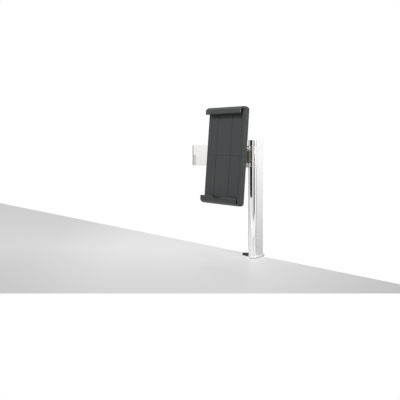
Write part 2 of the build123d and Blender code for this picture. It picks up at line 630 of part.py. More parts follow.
def swivel_bushes():
    """Two plain sleeves in the bracket, with thin collars against the fork."""
    low = ARM_LOW + FORK_HEIGHT + KNUCKLE_GAP
    high = ARM_TOP - FORK_HEIGHT - KNUCKLE_GAP
    bore = rod(SWIVEL_X, SWIVEL_Y, ARM_LOW, ARM_TOP, SWIVEL_PIN + RUN_FIT)
    length = (high - low) * 0.38
    collar = KNUCKLE_GAP - RUN_FIT
    lower = rod(SWIVEL_X, SWIVEL_Y, low, low + length, SWIVEL_PIN + BUSH_WALL)
    lower = lower + rod(SWIVEL_X, SWIVEL_Y, low - collar, low, SWIVEL_RADIUS - 2)
    upper = rod(SWIVEL_X, SWIVEL_Y, high - length, high, SWIVEL_PIN + BUSH_WALL)
    upper = upper + rod(SWIVEL_X, SWIVEL_Y, high, high + collar, SWIVEL_RADIUS - 2)
    return Compound([lower - bore, upper - bore])


def tilt_span():
    """Half width over the ears."""
    return TILT_HALF_WIDTH + FREE_GAP + EAR_THICKNESS


def tilt_bolt():
    """Bolt through the ears and the barrel, round head on the left."""
    left = SWIVEL_X - tilt_span() - TILT_WASHER
    right = SWIVEL_X + tilt_span() - PLAY
    head = rod_x(left - HEAD_BOLT_HEIGHT, left, TILT_Y, ARM_MID, HEAD_BOLT_RADIUS)
    shank = rod_x(left, right, TILT_Y, ARM_MID, TILT_BOLT)
    drive = extrude(RegularPolygon(2.0, 6, major_radius=False), HEAD_BOLT_HEIGHT)
    drive = Pos(left - HEAD_BOLT_HEIGHT - 1, TILT_Y, ARM_MID) * Rot(0, 90, 0) * drive
    return head + shank - drive


def tilt_nut():
    """Hexagon nut sunk in the right ear and the spring washer under the bolt's head."""
    left = SWIVEL_X - tilt_span()
    right = SWIVEL_X + tilt_span()
    washer = rod_x(left - TILT_WASHER, left, TILT_Y, ARM_MID, HEAD_BOLT_RADIUS + FREE_GAP)
    nut = extrude(RegularPolygon(NUT_FLATS / 2, 6, major_radius=False), TILT_NUT_HEIGHT)
    nut = Pos(right - TILT_NUT_HEIGHT - PLAY, TILT_Y, ARM_MID) * Rot(0, 90, 0) * nut
    bore = rod_x(left - 9, right + 1, TILT_Y, ARM_MID, TILT_BOLT + SEAT_FIT)
    return Compound([washer - bore, nut - bore])


def tilt_discs():
    """Two friction discs between the ears and the barrel."""
    discs = []
    for side in (-1, 1):
        inner = SWIVEL_X + side * (TILT_HALF_WIDTH + RUN_FIT)
        outer = SWIVEL_X + side * (TILT_HALF_WIDTH + FREE_GAP)
        disc = rod_x(min(inner, outer), max(inner, outer), TILT_Y, ARM_MID, TILT_BARREL - 0.6)
        discs.append(disc - rod_x(SWIVEL_X - 30, SWIVEL_X + 30, TILT_Y, ARM_MID,
                                  TILT_BOLT + RUN_FIT))
    return Compound(discs)


def hub_back():
    """Depth of the back of the holder's hub, from the face."""
    return -BODY_DEPTH - 2.0


def flange_front():
    """Depth of the tilt head's front face."""
    return hub_back() - WASHER_THICKNESS - RUN_FIT


def spindle_room():
    """Depth of the recess floor for the spindle's nut."""
    return hub_back() + 3.4


def tilt_head():
    """Barrel on the tilt bolt, neck, round flange and the spindle that the holder turns on."""
    barrel = Pos(0, 0, -FACE_TO_TILT) * Rot(0, 90, 0) * Cylinder(TILT_BARREL,
                                                                2 * TILT_HALF_WIDTH)
    front = flange_front()
    back = front - FLANGE_THICKNESS
    flange = soften(rod(0, 0, back, front, FLANGE_RADIUS), back, 1.6)
    foot = Plane((0, 0, -FACE_TO_TILT)) * RectangleRounded(2 * TILT_HALF_WIDTH - 1,
                                                          2 * TILT_BARREL - 3, 2)
    waist = -FACE_TO_TILT + EAR_RADIUS + 1
    middle = Plane((0, 0, waist)) * Circle(TILT_HALF_WIDTH - PLAY)
    neck = loft([foot, middle])
    flare = Pos(0, 0, (waist + back + 0.5) / 2) * Cone(TILT_HALF_WIDTH - PLAY, FLANGE_RADIUS * 0.66,
                                                       back + 0.5 - waist)
    neck = neck + flare
    spindle = rod(0, 0, front, spindle_room() + NUT_HEIGHT, SPINDLE_HEAD)
    body = barrel + flange + neck + spindle
    body = body - Pos(0, 0, -FACE_TO_TILT) * Rot(0, 90, 0) * Cylinder(TILT_BOLT + RUN_FIT, 60)
    for x in (-BALL_RING, BALL_RING):
        body = body - rod(x, 0, front - BALL_RADIUS - RUN_FIT, front + 1, BALL_RADIUS + RUN_FIT)
    return HOLDER * body


def detent_balls():
    """Two balls between the flange and the hub that mark the quarter turns."""
    balls = []
    for x in (-BALL_RING, BALL_RING):
        balls.append(HOLDER * Pos(x, 0, flange_front()) * Sphere(BALL_RADIUS))
    return Compound(balls)


def turn_washer():
    """Friction washer between the flange and the hub."""
    front = hub_back() - RUN_FIT / 2
    body = rod(0, 0, front - WASHER_THICKNESS, front, BALL_RING - 2.4)
    return HOLDER * (body - rod(0, 0, front - 3, front + 1, SPINDLE_HEAD + RUN_FIT))


def spindle_nut():
    """Round slotted nut and the spring washer under it, in the hub's recess."""
    low = spindle_room() + RUN_FIT
    washer = rod(0, 0, low, low + 0.8, SPINDLE_HEAD + 2.6)
    nut = rod(0, 0, low + 0.8, low + NUT_HEIGHT - 0.6, SPINDLE_HEAD + 2.6)
    for angle in (0, 90):
        slot = Pos(0, 0, low + NUT_HEIGHT - 1) * Rot(0, 0, angle) * Box(30, 1.6, 1.6)
        nut = nut - slot
    bore = rod(0, 0, low - 1, low + 9, SPINDLE_HEAD + SEAT_FIT)
    solids = [washer - bore] + list((nut - bore).solids())
    return Compound([HOLDER * s for s in solids])


# Holder, built upright in its own frame and placed at the end


def cross_outline(half, back, front, back_radius, front_radius):
    """Section across the holder, between its two long sides."""
    face = outline([(-half, back), (half, back), (half, front), (-half, front)])
    return rounded(face, [(-half, back, back_radius), (half, back, back_radius),
                          (-half, front, front_radius), (half, front, front_radius)])


def along(face, v0, v1):
    """Draw a section across the holder out from v0 to v1."""
    return extrude(Plane((0, v0, 0), x_dir=(1, 0, 0), z_dir=(0, -1, 0)) * face, -(v1 - v0))


def hook_profile():
    """Side view of one jaw: back, rounded end, hooked lip, face."""
    end = HALF_LENGTH
    lip_back = HOOK_FRONT - LIP_THICKNESS
    inner = end - HOOK_WALL
    tip = end - HOOK_WALL - LIP_LENGTH
    seam = SEAM_GAP / 2
    face = outline([(seam, -BODY_DEPTH), (end, -BODY_DEPTH), (end, HOOK_FRONT),
                    (tip, HOOK_FRONT), (tip, lip_back), (inner, lip_back), (inner, 0),
                    (seam, 0)])
    return rounded(face, [(end, -BODY_DEPTH, HOOK_BACK_RADIUS), (end, HOOK_FRONT, HOOK_FRONT_RADIUS),
                          (inner, lip_back, HOOK_INNER_RADIUS), (tip, HOOK_FRONT, 1.8),
                          (tip, lip_back, 1.2)])


def jaw_body(notched):
    """One half of the holder: open tub with a hooked end, guide rails, ledges and bosses."""
    solid = extrude(Plane.YZ * hook_profile(), HALF_WIDTH, both=True)
    solid = solid & along(cross_outline(HALF_WIDTH, -BODY_DEPTH, HOOK_FRONT, BACK_CORNER, 1.6),
                          -1, HALF_LENGTH + 1)
    wedge = outline([(HALF_WIDTH - FACE_CHAMFER, SEAT_FIT), (HALF_WIDTH + 1, SEAT_FIT),
                     (HALF_WIDTH + 1, -FACE_CHAMFER - 1), (HALF_WIDTH, -FACE_CHAMFER)])
    cut = along(wedge, -1, HALF_LENGTH - HOOK_WALL)
    solid = solid - cut - Rot(0, 0, 0) * mirror(cut, Plane.YZ)
    room_half = HALF_WIDTH - SIDE_WALL
    room_end = HALF_LENGTH - 1.5 * HOOK_WALL
    floor = -BODY_DEPTH + SHELL_WALL
    room = along(cross_outline(room_half, floor, -PANEL_THICKNESS, BACK_CORNER - SHELL_WALL, 0.3),
                 -1, room_end)
    open_half = HALF_WIDTH - FACE_CHAMFER
    mouth = box_between(-open_half, open_half, -1, HALF_LENGTH - HOOK_WALL - 2.0,
                        -PANEL_THICKNESS, 1)
    solid = solid - room - mouth
    for side in (-1, 1):
        ledge = box_between(side * (open_half - 2.2), side * (room_half + 0.5), SEAM_GAP / 2,
                            room_end, -PANEL_THICKNESS - 1.6, -PANEL_THICKNESS)
        rail_low = floor + CARRIER_THICKNESS + 2 * FREE_GAP
        rail = box_between(side * (CARRIER_HALF_WIDTH - 2.5), side * (room_half + 0.5),
                           SEAM_GAP / 2, room_end, rail_low, rail_low + RAIL_THICKNESS)
        solid = solid + ledge + rail
    solid = solid - hub_slot()
    for u, v in panel_screw_spots():
        solid = solid + rod(u, v, floor - 0.5, -PANEL_POST, POST_RADIUS)
    rack_u = rack_middle()
    solid = solid + rod(rack_u, SCREW_ROW, floor - 0.5, rack_low() - SEAT_FIT, POST_RADIUS)
    solid = solid - rod(rack_u, SCREW_ROW, floor, 0, SMALL_SCREW + SEAT_FIT)
    for u, v in panel_screw_spots():
        solid = solid - rod(u, v, -BODY_DEPTH - 1, 0, SMALL_SCREW + PLAY)
        sink = rod(u, v, -BODY_DEPTH - 1, -BODY_DEPTH + 1.6, SMALL_HEAD + PLAY)
        solid = solid - sink
    if notched:
        tip = HALF_LENGTH - HOOK_WALL - LIP_LENGTH
        notch = outline([(-NOTCH_HALF - 1.5, tip - 1), (NOTCH_HALF + 1.5, tip - 1),
                         (NOTCH_HALF, tip + NOTCH_DEPTH), (-NOTCH_HALF, tip + NOTCH_DEPTH)])
        notch = rounded(notch, [(-NOTCH_HALF, tip + NOTCH_DEPTH, 1.5),
                                (NOTCH_HALF, tip + NOTCH_DEPTH, 1.5)])
        solid = solid - Pos(0, 0, 1) * extrude(notch, HOOK_FRONT + 1)
        relief = box_between(-RELIEF_HALF, RELIEF_HALF, HALF_LENGTH - RELIEF_DEPTH,
                             HALF_LENGTH + 1, -1, RELIEF_WIDTH)
        solid = solid - relief
    return solid


def hub_slot():
    """Opening in the back wall that clears the hub when the jaws are closed."""
    half = HUB_RADIUS + FREE_GAP
    slot = rod(0, 0, -BODY_DEPTH - 1, -BODY_DEPTH + SHELL_WALL + 0.01, half)
    return slot


def panel_screw_spots():
    """Places of the screws that hold a face panel from behind."""
    return [(-PANEL_SCREW_U, SCREW_ROW), (PANEL_SCREW_U, SCREW_ROW)]


def face_panel():
    """Flat face of one half with two long grooves and its screw posts."""
    half = HALF_WIDTH - FACE_CHAMFER - PANEL_GAP
    end = HALF_LENGTH - HOOK_WALL - 2.0 - PLAY
    panel = box_between(-half, half, SEAM_GAP / 2, end, -PANEL_THICKNESS, 0)
    for side in (-1, 1):
        u = side * PANEL_GROOVE_U
        panel = panel - box_between(u - PANEL_GROOVE / 2, u + PANEL_GROOVE / 2, 0,
                                    end - 6, -PANEL_GROOVE_DEPTH, 1)
    for u, v in panel_screw_spots():
        panel = panel + rod(u, v, RUN_FIT - PANEL_POST, -PANEL_THICKNESS, POST_RADIUS)
        panel = panel - rod(u, v, -PANEL_POST - 1, -PANEL_THICKNESS - FREE_GAP,
                            SMALL_SCREW + SEAT_FIT)
    return panel


def rack_low():
    """Depth of the racks' back."""
    return -BODY_DEPTH + SHELL_WALL + FREE_GAP + CARRIER_THICKNESS + FREE_GAP


def rack_middle():
    """Distance of the rack's middle line from the pinion's axis."""
    return PITCH_RADIUS + RACK_BACK / 2 + GEAR_MODULE


def rack():
    """Toothed bar of one jaw, on the right of the pinion, with a foot on the jaw's boss."""
    low = rack_low()
    root = PITCH_RADIUS + 1.25 * GEAR_MODULE
    reach = JAW_TRAVEL + PITCH_RADIUS + 2 * GEAR_MODULE
    bar = box_between(root, root + RACK_BACK, -reach, SCREW_ROW + POST_RADIUS, low,
                      low + GEAR_WIDTH)
    pitch = math.pi * GEAR_MODULE
    count = int(2 * (reach - pitch / 2) / pitch)
    teeth_v = [pitch * i for i in range(-count, count) if -reach + pitch / 2 < pitch * i < PITCH_RADIUS
               + GEAR_MODULE]
    slope = math.tan(math.radians(20))
    back = pitch / 4 + slope * 1.25 * GEAR_MODULE - RUN_FIT
    tip = pitch / 4 - slope * GEAR_MODULE - RUN_FIT
    teeth = []
    for v in teeth_v:
        tooth = outline([(root + 0.1, v - back), (root + 0.1, v + back),
                         (PITCH_RADIUS - GEAR_MODULE, v + tip),
                         (PITCH_RADIUS - GEAR_MODULE, v - tip)])
        teeth.append(Pos(0, 0, low) * extrude(tooth, GEAR_WIDTH))
    bar = bar + teeth
    foot = rod(rack_middle(), SCREW_ROW, low, low + GEAR_WIDTH, POST_RADIUS + 0.4)
    bar = bar + foot
    return bar - rod(rack_middle(), SCREW_ROW, low - 1, low + 9, SMALL_SCREW + SEAT_FIT)


def jaw_screws():
    """Two panel screws from behind and the rack's screw from the front."""
    screws = []
    for u, v in panel_screw_spots():
        head = rod(u, v, -BODY_DEPTH + 0.1, -BODY_DEPTH + 1.6, SMALL_HEAD)
        shank = rod(u, v, -BODY_DEPTH + 1.6, -PANEL_THICKNESS - 1.0, SMALL_SCREW)
        slot = Pos(u, v, -BODY_DEPTH) * Box(2.6, 0.6, 1.6)
        screws.append(head + shank - slot)
    top = rack_low() + GEAR_WIDTH
    shank = rod(rack_middle(), SCREW_ROW, rack_low() - 3.6, top, SMALL_SCREW)
    head = rod(rack_middle(), SCREW_ROW, top, top + 1.4, SMALL_HEAD)
    screws.append(head + shank)
    return screws


def hook_liner(notched):
    """Soft strip on the inside of the hook's end wall."""
    inner = HALF_LENGTH - HOOK_WALL
    low = 0.6
    high = HOOK_FRONT - LIP_THICKNESS - HOOK_INNER_RADIUS
    strip = box_between(-LINER_HALF, LINER_HALF, inner - LINER_THICKNESS, inner, low, high)
    edges = [e for e in strip.edges() if e.center().Y < inner - LINER_THICKNESS / 2
             and e.length > LINER_HALF]
    strip = fillet(edges, LINER_THICKNESS / 2)
    if notched:
        strip = strip - box_between(-NOTCH_HALF, NOTCH_HALF, inner - 9, inner + 1, -1, 19)
    return strip


def carrier():
    """Guide plate of the holder: runs in the jaws' rails, hub behind, four posts in front."""
    floor = -BODY_DEPTH + SHELL_WALL + FREE_GAP
    front = floor + CARRIER_THICKNESS
    plan = RectangleRounded(2 * CARRIER_HALF_WIDTH, 2 * CARRIER_HALF_LENGTH, CARRIER_CORNER)
    for u in (-SLOT_U, SLOT_U):
        plan = plan - Pos(u, 0) * SlotOverall(CARRIER_HALF_LENGTH - SLOT_MARGIN, SLOT_WIDTH,
                                              rotation=90)
    plate = Pos(0, 0, floor) * extrude(plan, CARRIER_THICKNESS)
    hub = rod(0, 0, hub_back(), front, HUB_RADIUS)
    body = plate + hub
    body = body - rod(0, 0, hub_back() - 1, front + 1, SPINDLE_HEAD + RUN_FIT)
    body = body - rod(0, 0, spindle_room(), front + 1, SPINDLE_HEAD + 3.0)
    for u, v in post_spots():
        body = body + rod(u, v, front - 0.5, cover_low(), POST_RADIUS)
        body = body - rod(u, v, front, 0, SMALL_SCREW + SEAT_FIT)
    groove = BALL_RADIUS + RUN_FIT
    track_top = flange_front() + groove
    track = rod(0, 0, hub_back() - 1, track_top, BALL_RING + groove)
    body = body - (track - rod(0, 0, hub_back() - 1, track_top, BALL_RING - groove))
    for i in range(4):
        angle = math.pi / 2 * i
        body = body - rod(BALL_RING * math.cos(angle), BALL_RING * math.sin(angle), track_top - 1,
                          track_top + DIMPLE_DEPTH, BALL_RADIUS * 0.7)
    return body


def post_spots():
    """Places of the posts that carry the cover over the pinion."""
    return [(side * POST_U, end * POST_V) for end in (-1, 1) for side in (-1, 1)]


def cover_low():
    """Depth of the underside of the cover over the pinion."""
    return rack_low() + GEAR_WIDTH + BARREL_HEIGHT + 2 * FREE_GAP


def axle_plug():
    """Disc that closes the hub's recess and carries the pinion's axle."""
    front = -BODY_DEPTH + SHELL_WALL + FREE_GAP + CARRIER_THICKNESS
    disc = rod(0, 0, spindle_room() + NUT_HEIGHT + RUN_FIT, front, SPINDLE_HEAD + 3.0 - SEAT_FIT)
    return disc + rod(0, 0, front, cover_low() + COVER_THICKNESS * 0.7, AXLE_RADIUS)


def pinion():
    """Centring gear with a flat drum in front that holds the spiral spring."""
    low = rack_low()
    module = GEAR_MODULE
    step = 2 * math.pi / PINION_TEETH
    root_r = PITCH_RADIUS - 1.25 * module
    tip_r = PITCH_RADIUS + module
    tooth_half = math.pi * module / 4 - RUN_FIT
    gear = Circle(root_r)
    slope = math.tan(math.radians(20))
    for i in range(PINION_TEETH):
        tooth = outline([(root_r - 0.6, -tooth_half - 0.28), (PITCH_RADIUS, -tooth_half),
                         (tip_r, -tooth_half + slope * module),
                         (tip_r, tooth_half - slope * module), (PITCH_RADIUS, tooth_half),
                         (root_r - 0.6, tooth_half + 0.28)])
        gear = gear + Rot(0, 0, math.degrees(step * (i + 0.5))) * tooth
    body = Pos(0, 0, low) * extrude(gear, GEAR_WIDTH)
    drum_low = low + GEAR_WIDTH + FREE_GAP
    body = body + rod(0, 0, low + GEAR_WIDTH - 0.1, drum_low + 1, root_r)
    body = body + rod(0, 0, drum_low, drum_low + 1, BARREL_RADIUS)
    wall = rod(0, 0, drum_low, drum_low + BARREL_HEIGHT - FREE_GAP, BARREL_RADIUS)
    wall = wall - rod(0, 0, drum_low, drum_low + 9, BARREL_RADIUS - DRUM_WALL)
    body = body + wall
    return body - rod(0, 0, low - 1, 0, AXLE_RADIUS + RUN_FIT)


def closing_spring():
    """Spiral strip spring in the drum, from the axle out to the drum's wall."""
    low = rack_low() + GEAR_WIDTH + FREE_GAP + 1 + PLAY
    start = AXLE_RADIUS + 2 * PLAY + 0.2
    end = BARREL_RADIUS - DRUM_WALL - 2 * SPRING_STRIP
    step = (end - start) / (2 * SPRING_TURNS)
    ribbon = None
    for half_turn in range(2 * SPRING_TURNS):
        side = 1 if half_turn % 2 == 0 else -1
        middle = 0 if half_turn % 2 == 0 else step
        radius = start + step * half_turn
        ring = Circle(radius + SPRING_STRIP) - Circle(radius)
        half = ring & Pos(0, side * BARREL_RADIUS) * Rectangle(3 * BARREL_RADIUS, 2 * BARREL_RADIUS)
        piece = Pos(middle, 0) * half
        ribbon = piece if ribbon is None else ribbon + piece
    return Pos(0, 0, low) * extrude(ribbon, BARREL_HEIGHT - FREE_GAP - 1 - 2 * PLAY)


def pinion_cover():
    """Bridge over the pinion on the carrier's posts, holds the axle's end."""
    low = cover_low()
    plan = RectangleRounded(2 * (POST_U + POST_RADIUS), 2 * (POST_V + POST_RADIUS),
                            POST_RADIUS - SEAT_FIT)
    for side in (-1, 1):
        plan = plan - Pos(0, side * (POST_V + POST_RADIUS)) * Circle(COVER_WAIST)
    body = Pos(0, 0, low) * extrude(plan, COVER_THICKNESS)
    body = body - rod(0, 0, low - 1, low + 9, AXLE_RADIUS + SEAT_FIT)
    for u, v in post_spots():
        body = body - rod(u, v, low - 1, low + 9, SMALL_SCREW + PLAY)
    return body


def cover_screws():
    """Four small screws that hold the cover on its posts."""
    top = cover_low() + COVER_THICKNESS
    screws = []
    for u, v in post_spots():
        shank = rod(u, v, top - 6, top, SMALL_SCREW)
        head = rod(u, v, top, top + SMALL_HEAD_HEIGHT, SMALL_HEAD)
        screws.append(head + shank)
    return screws


def placed(shape):
    """Move a holder piece from its own frame to its place on the mount."""
    return HOLDER * shape


def turned(shape):
    """Half turn about the holder's axis, from the upper jaw to the lower one."""
    return Rot(0, 0, 180) * shape


def write_node(name, shape):
    """Write one node and report its solids."""
    export_step(shape, "parts/" + name + ".step")
    print(name, len(shape.solids()), [round(s.volume, 1) for s in shape.solids()][:6])


def main():
    """Build every node of the mount."""
    os.makedirs("parts", exist_ok=True)
    write_node("column", column())
    write_node("column_cap", column_cap())
    write_node("clamp_plate", clamp_plate())
    write_node("clamp_bracket", clamp_bracket())
    write_node("clamp_pad", clamp_pad())
    write_node("foot_trim", foot_trim())
    write_node("column_screws", column_screws())
    write_node("clamp_bush", clamp_bush())
    write_node("clamp_spindle", clamp_spindle())
    write_node("clamp_knob", clamp_knob())
    write_node("pressure_plate", pressure_plate())
    write_node("pressure_pad", pressure_pad())
    write_node("arm_link_rear", link_rear())
    write_node("arm_link_front", link_front())
    write_node("elbow_bolt", elbow_bolt())
    write_node("elbow_nut", elbow_nut())
    write_node("elbow_bushes", elbow_bushes())
    write_node("elbow_cap_top", pin_caps(ELBOW_X, ELBOW_Y, False))
    write_node("elbow_cap_bottom", pin_caps(ELBOW_X, ELBOW_Y, True))
    write_node("lock_tip", lock_tip())
    write_node("lock_screw", lock_screw())
    write_node("lock_knob", lock_knob())
    write_node("swivel_bracket", swivel_bracket())
    write_node("swivel_pin", swivel_pin())
    write_node("swivel_bushes", swivel_bushes())
    caps = [pin_caps(SWIVEL_X, SWIVEL_Y, False), pin_caps(SWIVEL_X, SWIVEL_Y, True)]
    write_node("swivel_caps", Compound(caps))
    write_node("tilt_bolt", tilt_bolt())
    write_node("tilt_nut", tilt_nut())
    write_node("tilt_discs", tilt_discs())
    write_node("tilt_head", tilt_head())
    write_node("detent_balls", detent_balls())
    write_node("turn_washer", turn_washer())
    write_node("spindle_nut", spindle_nut())
    write_node("holder_carrier", placed(carrier()))
    write_node("axle_plug", placed(axle_plug()))
    write_node("centring_pinion", placed(pinion()))
    write_node("closing_spring", placed(closing_spring()))
    write_node("pinion_cover", placed(pinion_cover()))
    write_node("cover_screws", Compound([placed(s) for s in cover_screws()]))
    write_node("jaw_upper_body", placed(jaw_body(False)))
    write_node("jaw_upper_panel", placed(face_panel()))
    write_node("jaw_upper_rack", placed(rack()))
    write_node("jaw_upper_screws", Compound([placed(s) for s in jaw_screws()]))
    write_node("jaw_upper_liner", placed(hook_liner(False)))
    write_node("jaw_lower_body", placed(turned(jaw_body(True))))
    write_node("jaw_lower_panel", placed(turned(face_panel())))
    write_node("jaw_lower_rack", placed(turned(rack())))
    write_node("jaw_lower_screws", Compound([placed(turned(s)) for s in jaw_screws()]))
    write_node("jaw_lower_liner", placed(turned(hook_liner(True))))


main()
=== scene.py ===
"""Looks of the tablet clamp mount: finishes, softened edges, threads and ribs, table, studio.

Metres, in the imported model's frame: the origin is the middle of the column's foot on the
table top, X runs along the table edge, Y points away from the user, Z is up.
"""

import logging
import math
from dataclasses import dataclass
from enum import Enum

import bmesh
import bpy
from mathutils import Matrix, Vector

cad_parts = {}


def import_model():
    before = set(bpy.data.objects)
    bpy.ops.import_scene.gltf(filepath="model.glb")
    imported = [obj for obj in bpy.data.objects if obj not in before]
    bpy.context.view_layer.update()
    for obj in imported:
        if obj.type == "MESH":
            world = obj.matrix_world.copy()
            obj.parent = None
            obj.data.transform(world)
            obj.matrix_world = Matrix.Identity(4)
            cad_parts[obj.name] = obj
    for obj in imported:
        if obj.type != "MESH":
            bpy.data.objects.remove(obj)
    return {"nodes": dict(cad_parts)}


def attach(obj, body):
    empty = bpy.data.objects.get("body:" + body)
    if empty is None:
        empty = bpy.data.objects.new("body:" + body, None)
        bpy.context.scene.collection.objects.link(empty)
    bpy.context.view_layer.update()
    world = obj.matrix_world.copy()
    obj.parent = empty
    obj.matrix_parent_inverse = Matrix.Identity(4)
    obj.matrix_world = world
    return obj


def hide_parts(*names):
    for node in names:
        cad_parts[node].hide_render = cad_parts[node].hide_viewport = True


LOG = logging.getLogger("mount")
MM = 0.001
WHITE = (1.0, 1.0, 1.0, 1.0)

# Points closer than SAME_PLACE are one, edges flatter than FLAT_ANGLE are none, and edges
# sharper than EDGE_ANGLE are softened or kept sharp.
SAME_PLACE = 2e-6
FLAT_ANGLE = math.radians(0.8)
EDGE_ANGLE = math.radians(28)

# Widths of the softened edges, and how they are rounded.
NO_EDGE = 0.0
HAIR_EDGE = 0.2 * MM
FINE_EDGE = 0.25 * MM
SMALL_EDGE = 0.3 * MM
PLATE_EDGE = 0.4 * MM
FULL_EDGE = 0.5 * MM
EDGE_STEPS = 2
FACE_WEIGHT = 100

# Faces round one turn of what is wound or grown.
TURN_STEPS = 24
GROOVE_SIDES = 4
RIB_SIDES = 10

# First and last angle of a hexagon's corners, and the chords between them.
HEXAGON = (0.0, 300.0, 5)

# What all finishes share.
LEAST_ROUGHNESS = 0.02
GRAIN_DETAIL = 3.0
GRAIN_STRENGTH = 0.6
PATCH_SCALE = 45.0
PATCH_DETAIL = 2.0

Triple = tuple[float, float, float]
Pair = tuple[float, float]


class Side(Enum):
    """The two jaws of the holder, by the name of their body."""

    UPPER = "jaw_upper"
    LOWER = "jaw_lower"


@dataclass(frozen=True)
class Finish:
    """One surface finish, made of a shader with fine grain and slight mottling.

    Args:
        name: Name of the material.
        slot: Slot that the finish belongs to; not used.
        colour: Base colour, linear.
        metallic: Metal share of the shader.
        roughness: Middle roughness.
        spread: How far the roughness wanders either way.
        grain: Grain scale along X, Y and Z, in cycles per metre.
        bump: Depth of the grain, in metres.
        mottle: Share by which the colour darkens in patches.
    """

    name: str
    slot: str
    colour: Triple
    metallic: float
    roughness: float
    spread: float
    grain: Triple
    bump: float
    mottle: float

    def material(self) -> bpy.types.Material:
        """Build the material, or fetch it when it is there.

        Returns:
            The finished material.
        """
        found = bpy.data.materials.get(self.name)
        if found:
            return found
        material = bpy.data.materials.new(self.name)
        material.use_nodes = True
        tree = material.node_tree
        shader = tree.nodes["Principled BSDF"]
        shader.inputs["Metallic"].default_value = self.metallic
        coords = tree.nodes.new("ShaderNodeTexCoord")
        mapping = tree.nodes.new("ShaderNodeMapping")
        mapping.inputs["Scale"].default_value = self.grain
        tree.links.new(coords.outputs["Object"], mapping.inputs["Vector"])
        grain = self._noise(tree, mapping.outputs["Vector"], 1.0, GRAIN_DETAIL)
        patches = self._noise(tree, coords.outputs["Object"], PATCH_SCALE, PATCH_DETAIL)
        least = max(self.roughness - self.spread, LEAST_ROUGHNESS)
        most = min(self.roughness + self.spread, 1.0)
        rough = ramp(tree, grain, (0.0, 1.0), (least, most))
        tree.links.new(rough, shader.inputs["Roughness"])
        mix = tree.nodes.new("ShaderNodeMix")
        mix.data_type = "RGBA"
        dark = tuple(c * (1.0 - self.mottle) for c in self.colour)
        mix.inputs["A"].default_value = (*self.colour, 1.0)
        mix.inputs["B"].default_value = (*dark, 1.0)
        tree.links.new(patches, mix.inputs["Factor"])
        tree.links.new(mix.outputs["Result"], shader.inputs["Base Color"])
        bump = tree.nodes.new("ShaderNodeBump")
        bump.inputs["Distance"].default_value = self.bump
        bump.inputs["Strength"].default_value = GRAIN_STRENGTH
        tree.links.new(grain, bump.inputs["Height"])
        tree.links.new(bump.outputs["Normal"], shader.inputs["Normal"])
        return material

    @staticmethod
    def _noise(tree: bpy.types.NodeTree, vector: bpy.types.NodeSocket, scale: float,
               detail: float) -> bpy.types.NodeSocket:
        """Add a noise texture.

        Args:
            tree: Tree that gets the node.
            vector: Coordinates that the noise reads.
            scale: Noise scale.
            detail: Noise detail.

        Returns:
            The noise's value.
        """
        noise = tree.nodes.new("ShaderNodeTexNoise")
        noise.inputs["Scale"].default_value = scale
        noise.inputs["Detail"].default_value = detail
        tree.links.new(vector, noise.inputs["Vector"])
        return noise.outputs["Fac"]


POLISHED = Finish(
    "polished_extrusion", "polished", colour=(0.96, 0.96, 0.965), metallic=1.0,
    roughness=0.09, spread=0.03, grain=(2600.0, 2600.0, 14.0), bump=0.0000005, mottle=0.03)
SATIN_SILVER = Finish(
    "satin_silver", "silver", colour=(0.94, 0.93, 0.915), metallic=0.9,
    roughness=0.2, spread=0.03, grain=(1500.0, 1500.0, 1500.0), bump=0.000001, mottle=0.03)
CHARCOAL = Finish(
    "charcoal_shell", "charcoal", colour=(0.035, 0.037, 0.038), metallic=0.0,
    roughness=0.3, spread=0.05, grain=(1700.0, 1700.0, 1700.0), bump=0.00002, mottle=0.08)
CHARCOAL_FACE = Finish(
    "charcoal_face", "charcoal", colour=(0.031, 0.033, 0.034), metallic=0.0,
    roughness=0.5, spread=0.06, grain=(1400.0, 1400.0, 1400.0), bump=0.000025, mottle=0.06)
POWDER_BLACK = Finish(
    "powder_black", "black_steel", colour=(0.018, 0.018, 0.019), metallic=0.1,
    roughness=0.42, spread=0.08, grain=(1100.0, 1100.0, 1100.0), bump=0.00004, mottle=0.15)
GREY_CAST = Finish(
    "grey_cast", "black_steel", colour=(0.24, 0.228, 0.21), metallic=0.5,
    roughness=0.42, spread=0.05, grain=(1100.0, 1100.0, 1100.0), bump=0.00002, mottle=0.1)
# Grey finish for the elbow's eye: painted shade, standing in for the shade in the gap between the
# elbow's knuckle and the front link's end.
PAINTED_SHADE_EYE = Finish(
    "painted_shade_eye", "silver", colour=(0.60, 0.60, 0.60), metallic=0.6,
    roughness=0.4, spread=0.05, grain=(1500.0, 1500.0, 1500.0), bump=0.000006, mottle=0.05)
ZINC = Finish(
    "zinc_steel", "steel", colour=(0.56, 0.56, 0.57), metallic=1.0,
    roughness=0.28, spread=0.08, grain=(1800.0, 1800.0, 1800.0), bump=0.00001, mottle=0.1)
SOFT_BLACK = Finish(
    "soft_rubber", "rubber", colour=(0.022, 0.022, 0.022), metallic=0.0,
    roughness=0.78, spread=0.08, grain=(700.0, 700.0, 700.0), bump=0.00005, mottle=0.15)
KNOB_BLACK = Finish(
    "moulded_black", "black_plastic", colour=(0.028, 0.028, 0.03), metallic=0.0,
    roughness=0.5, spread=0.08, grain=(1300.0, 1300.0, 1300.0), bump=0.00003, mottle=0.1)
BEARING_WHITE = Finish(
    "bearing_plastic", "bearing", colour=(0.62, 0.61, 0.57), metallic=0.0,
    roughness=0.35, spread=0.05, grain=(900.0, 900.0, 900.0), bump=0.00001, mottle=0.08)


def link_object(name: str, mesh: bpy.types.Mesh) -> bpy.types.Object:
    """Put a mesh into the scene as an object at the origin.

    Args:
        name: Name of the new object.
        mesh: Its mesh, already in place.

    Returns:
        The new object.
    """
    made = bpy.data.objects.new(name, mesh)
    bpy.context.scene.collection.objects.link(made)
    return made


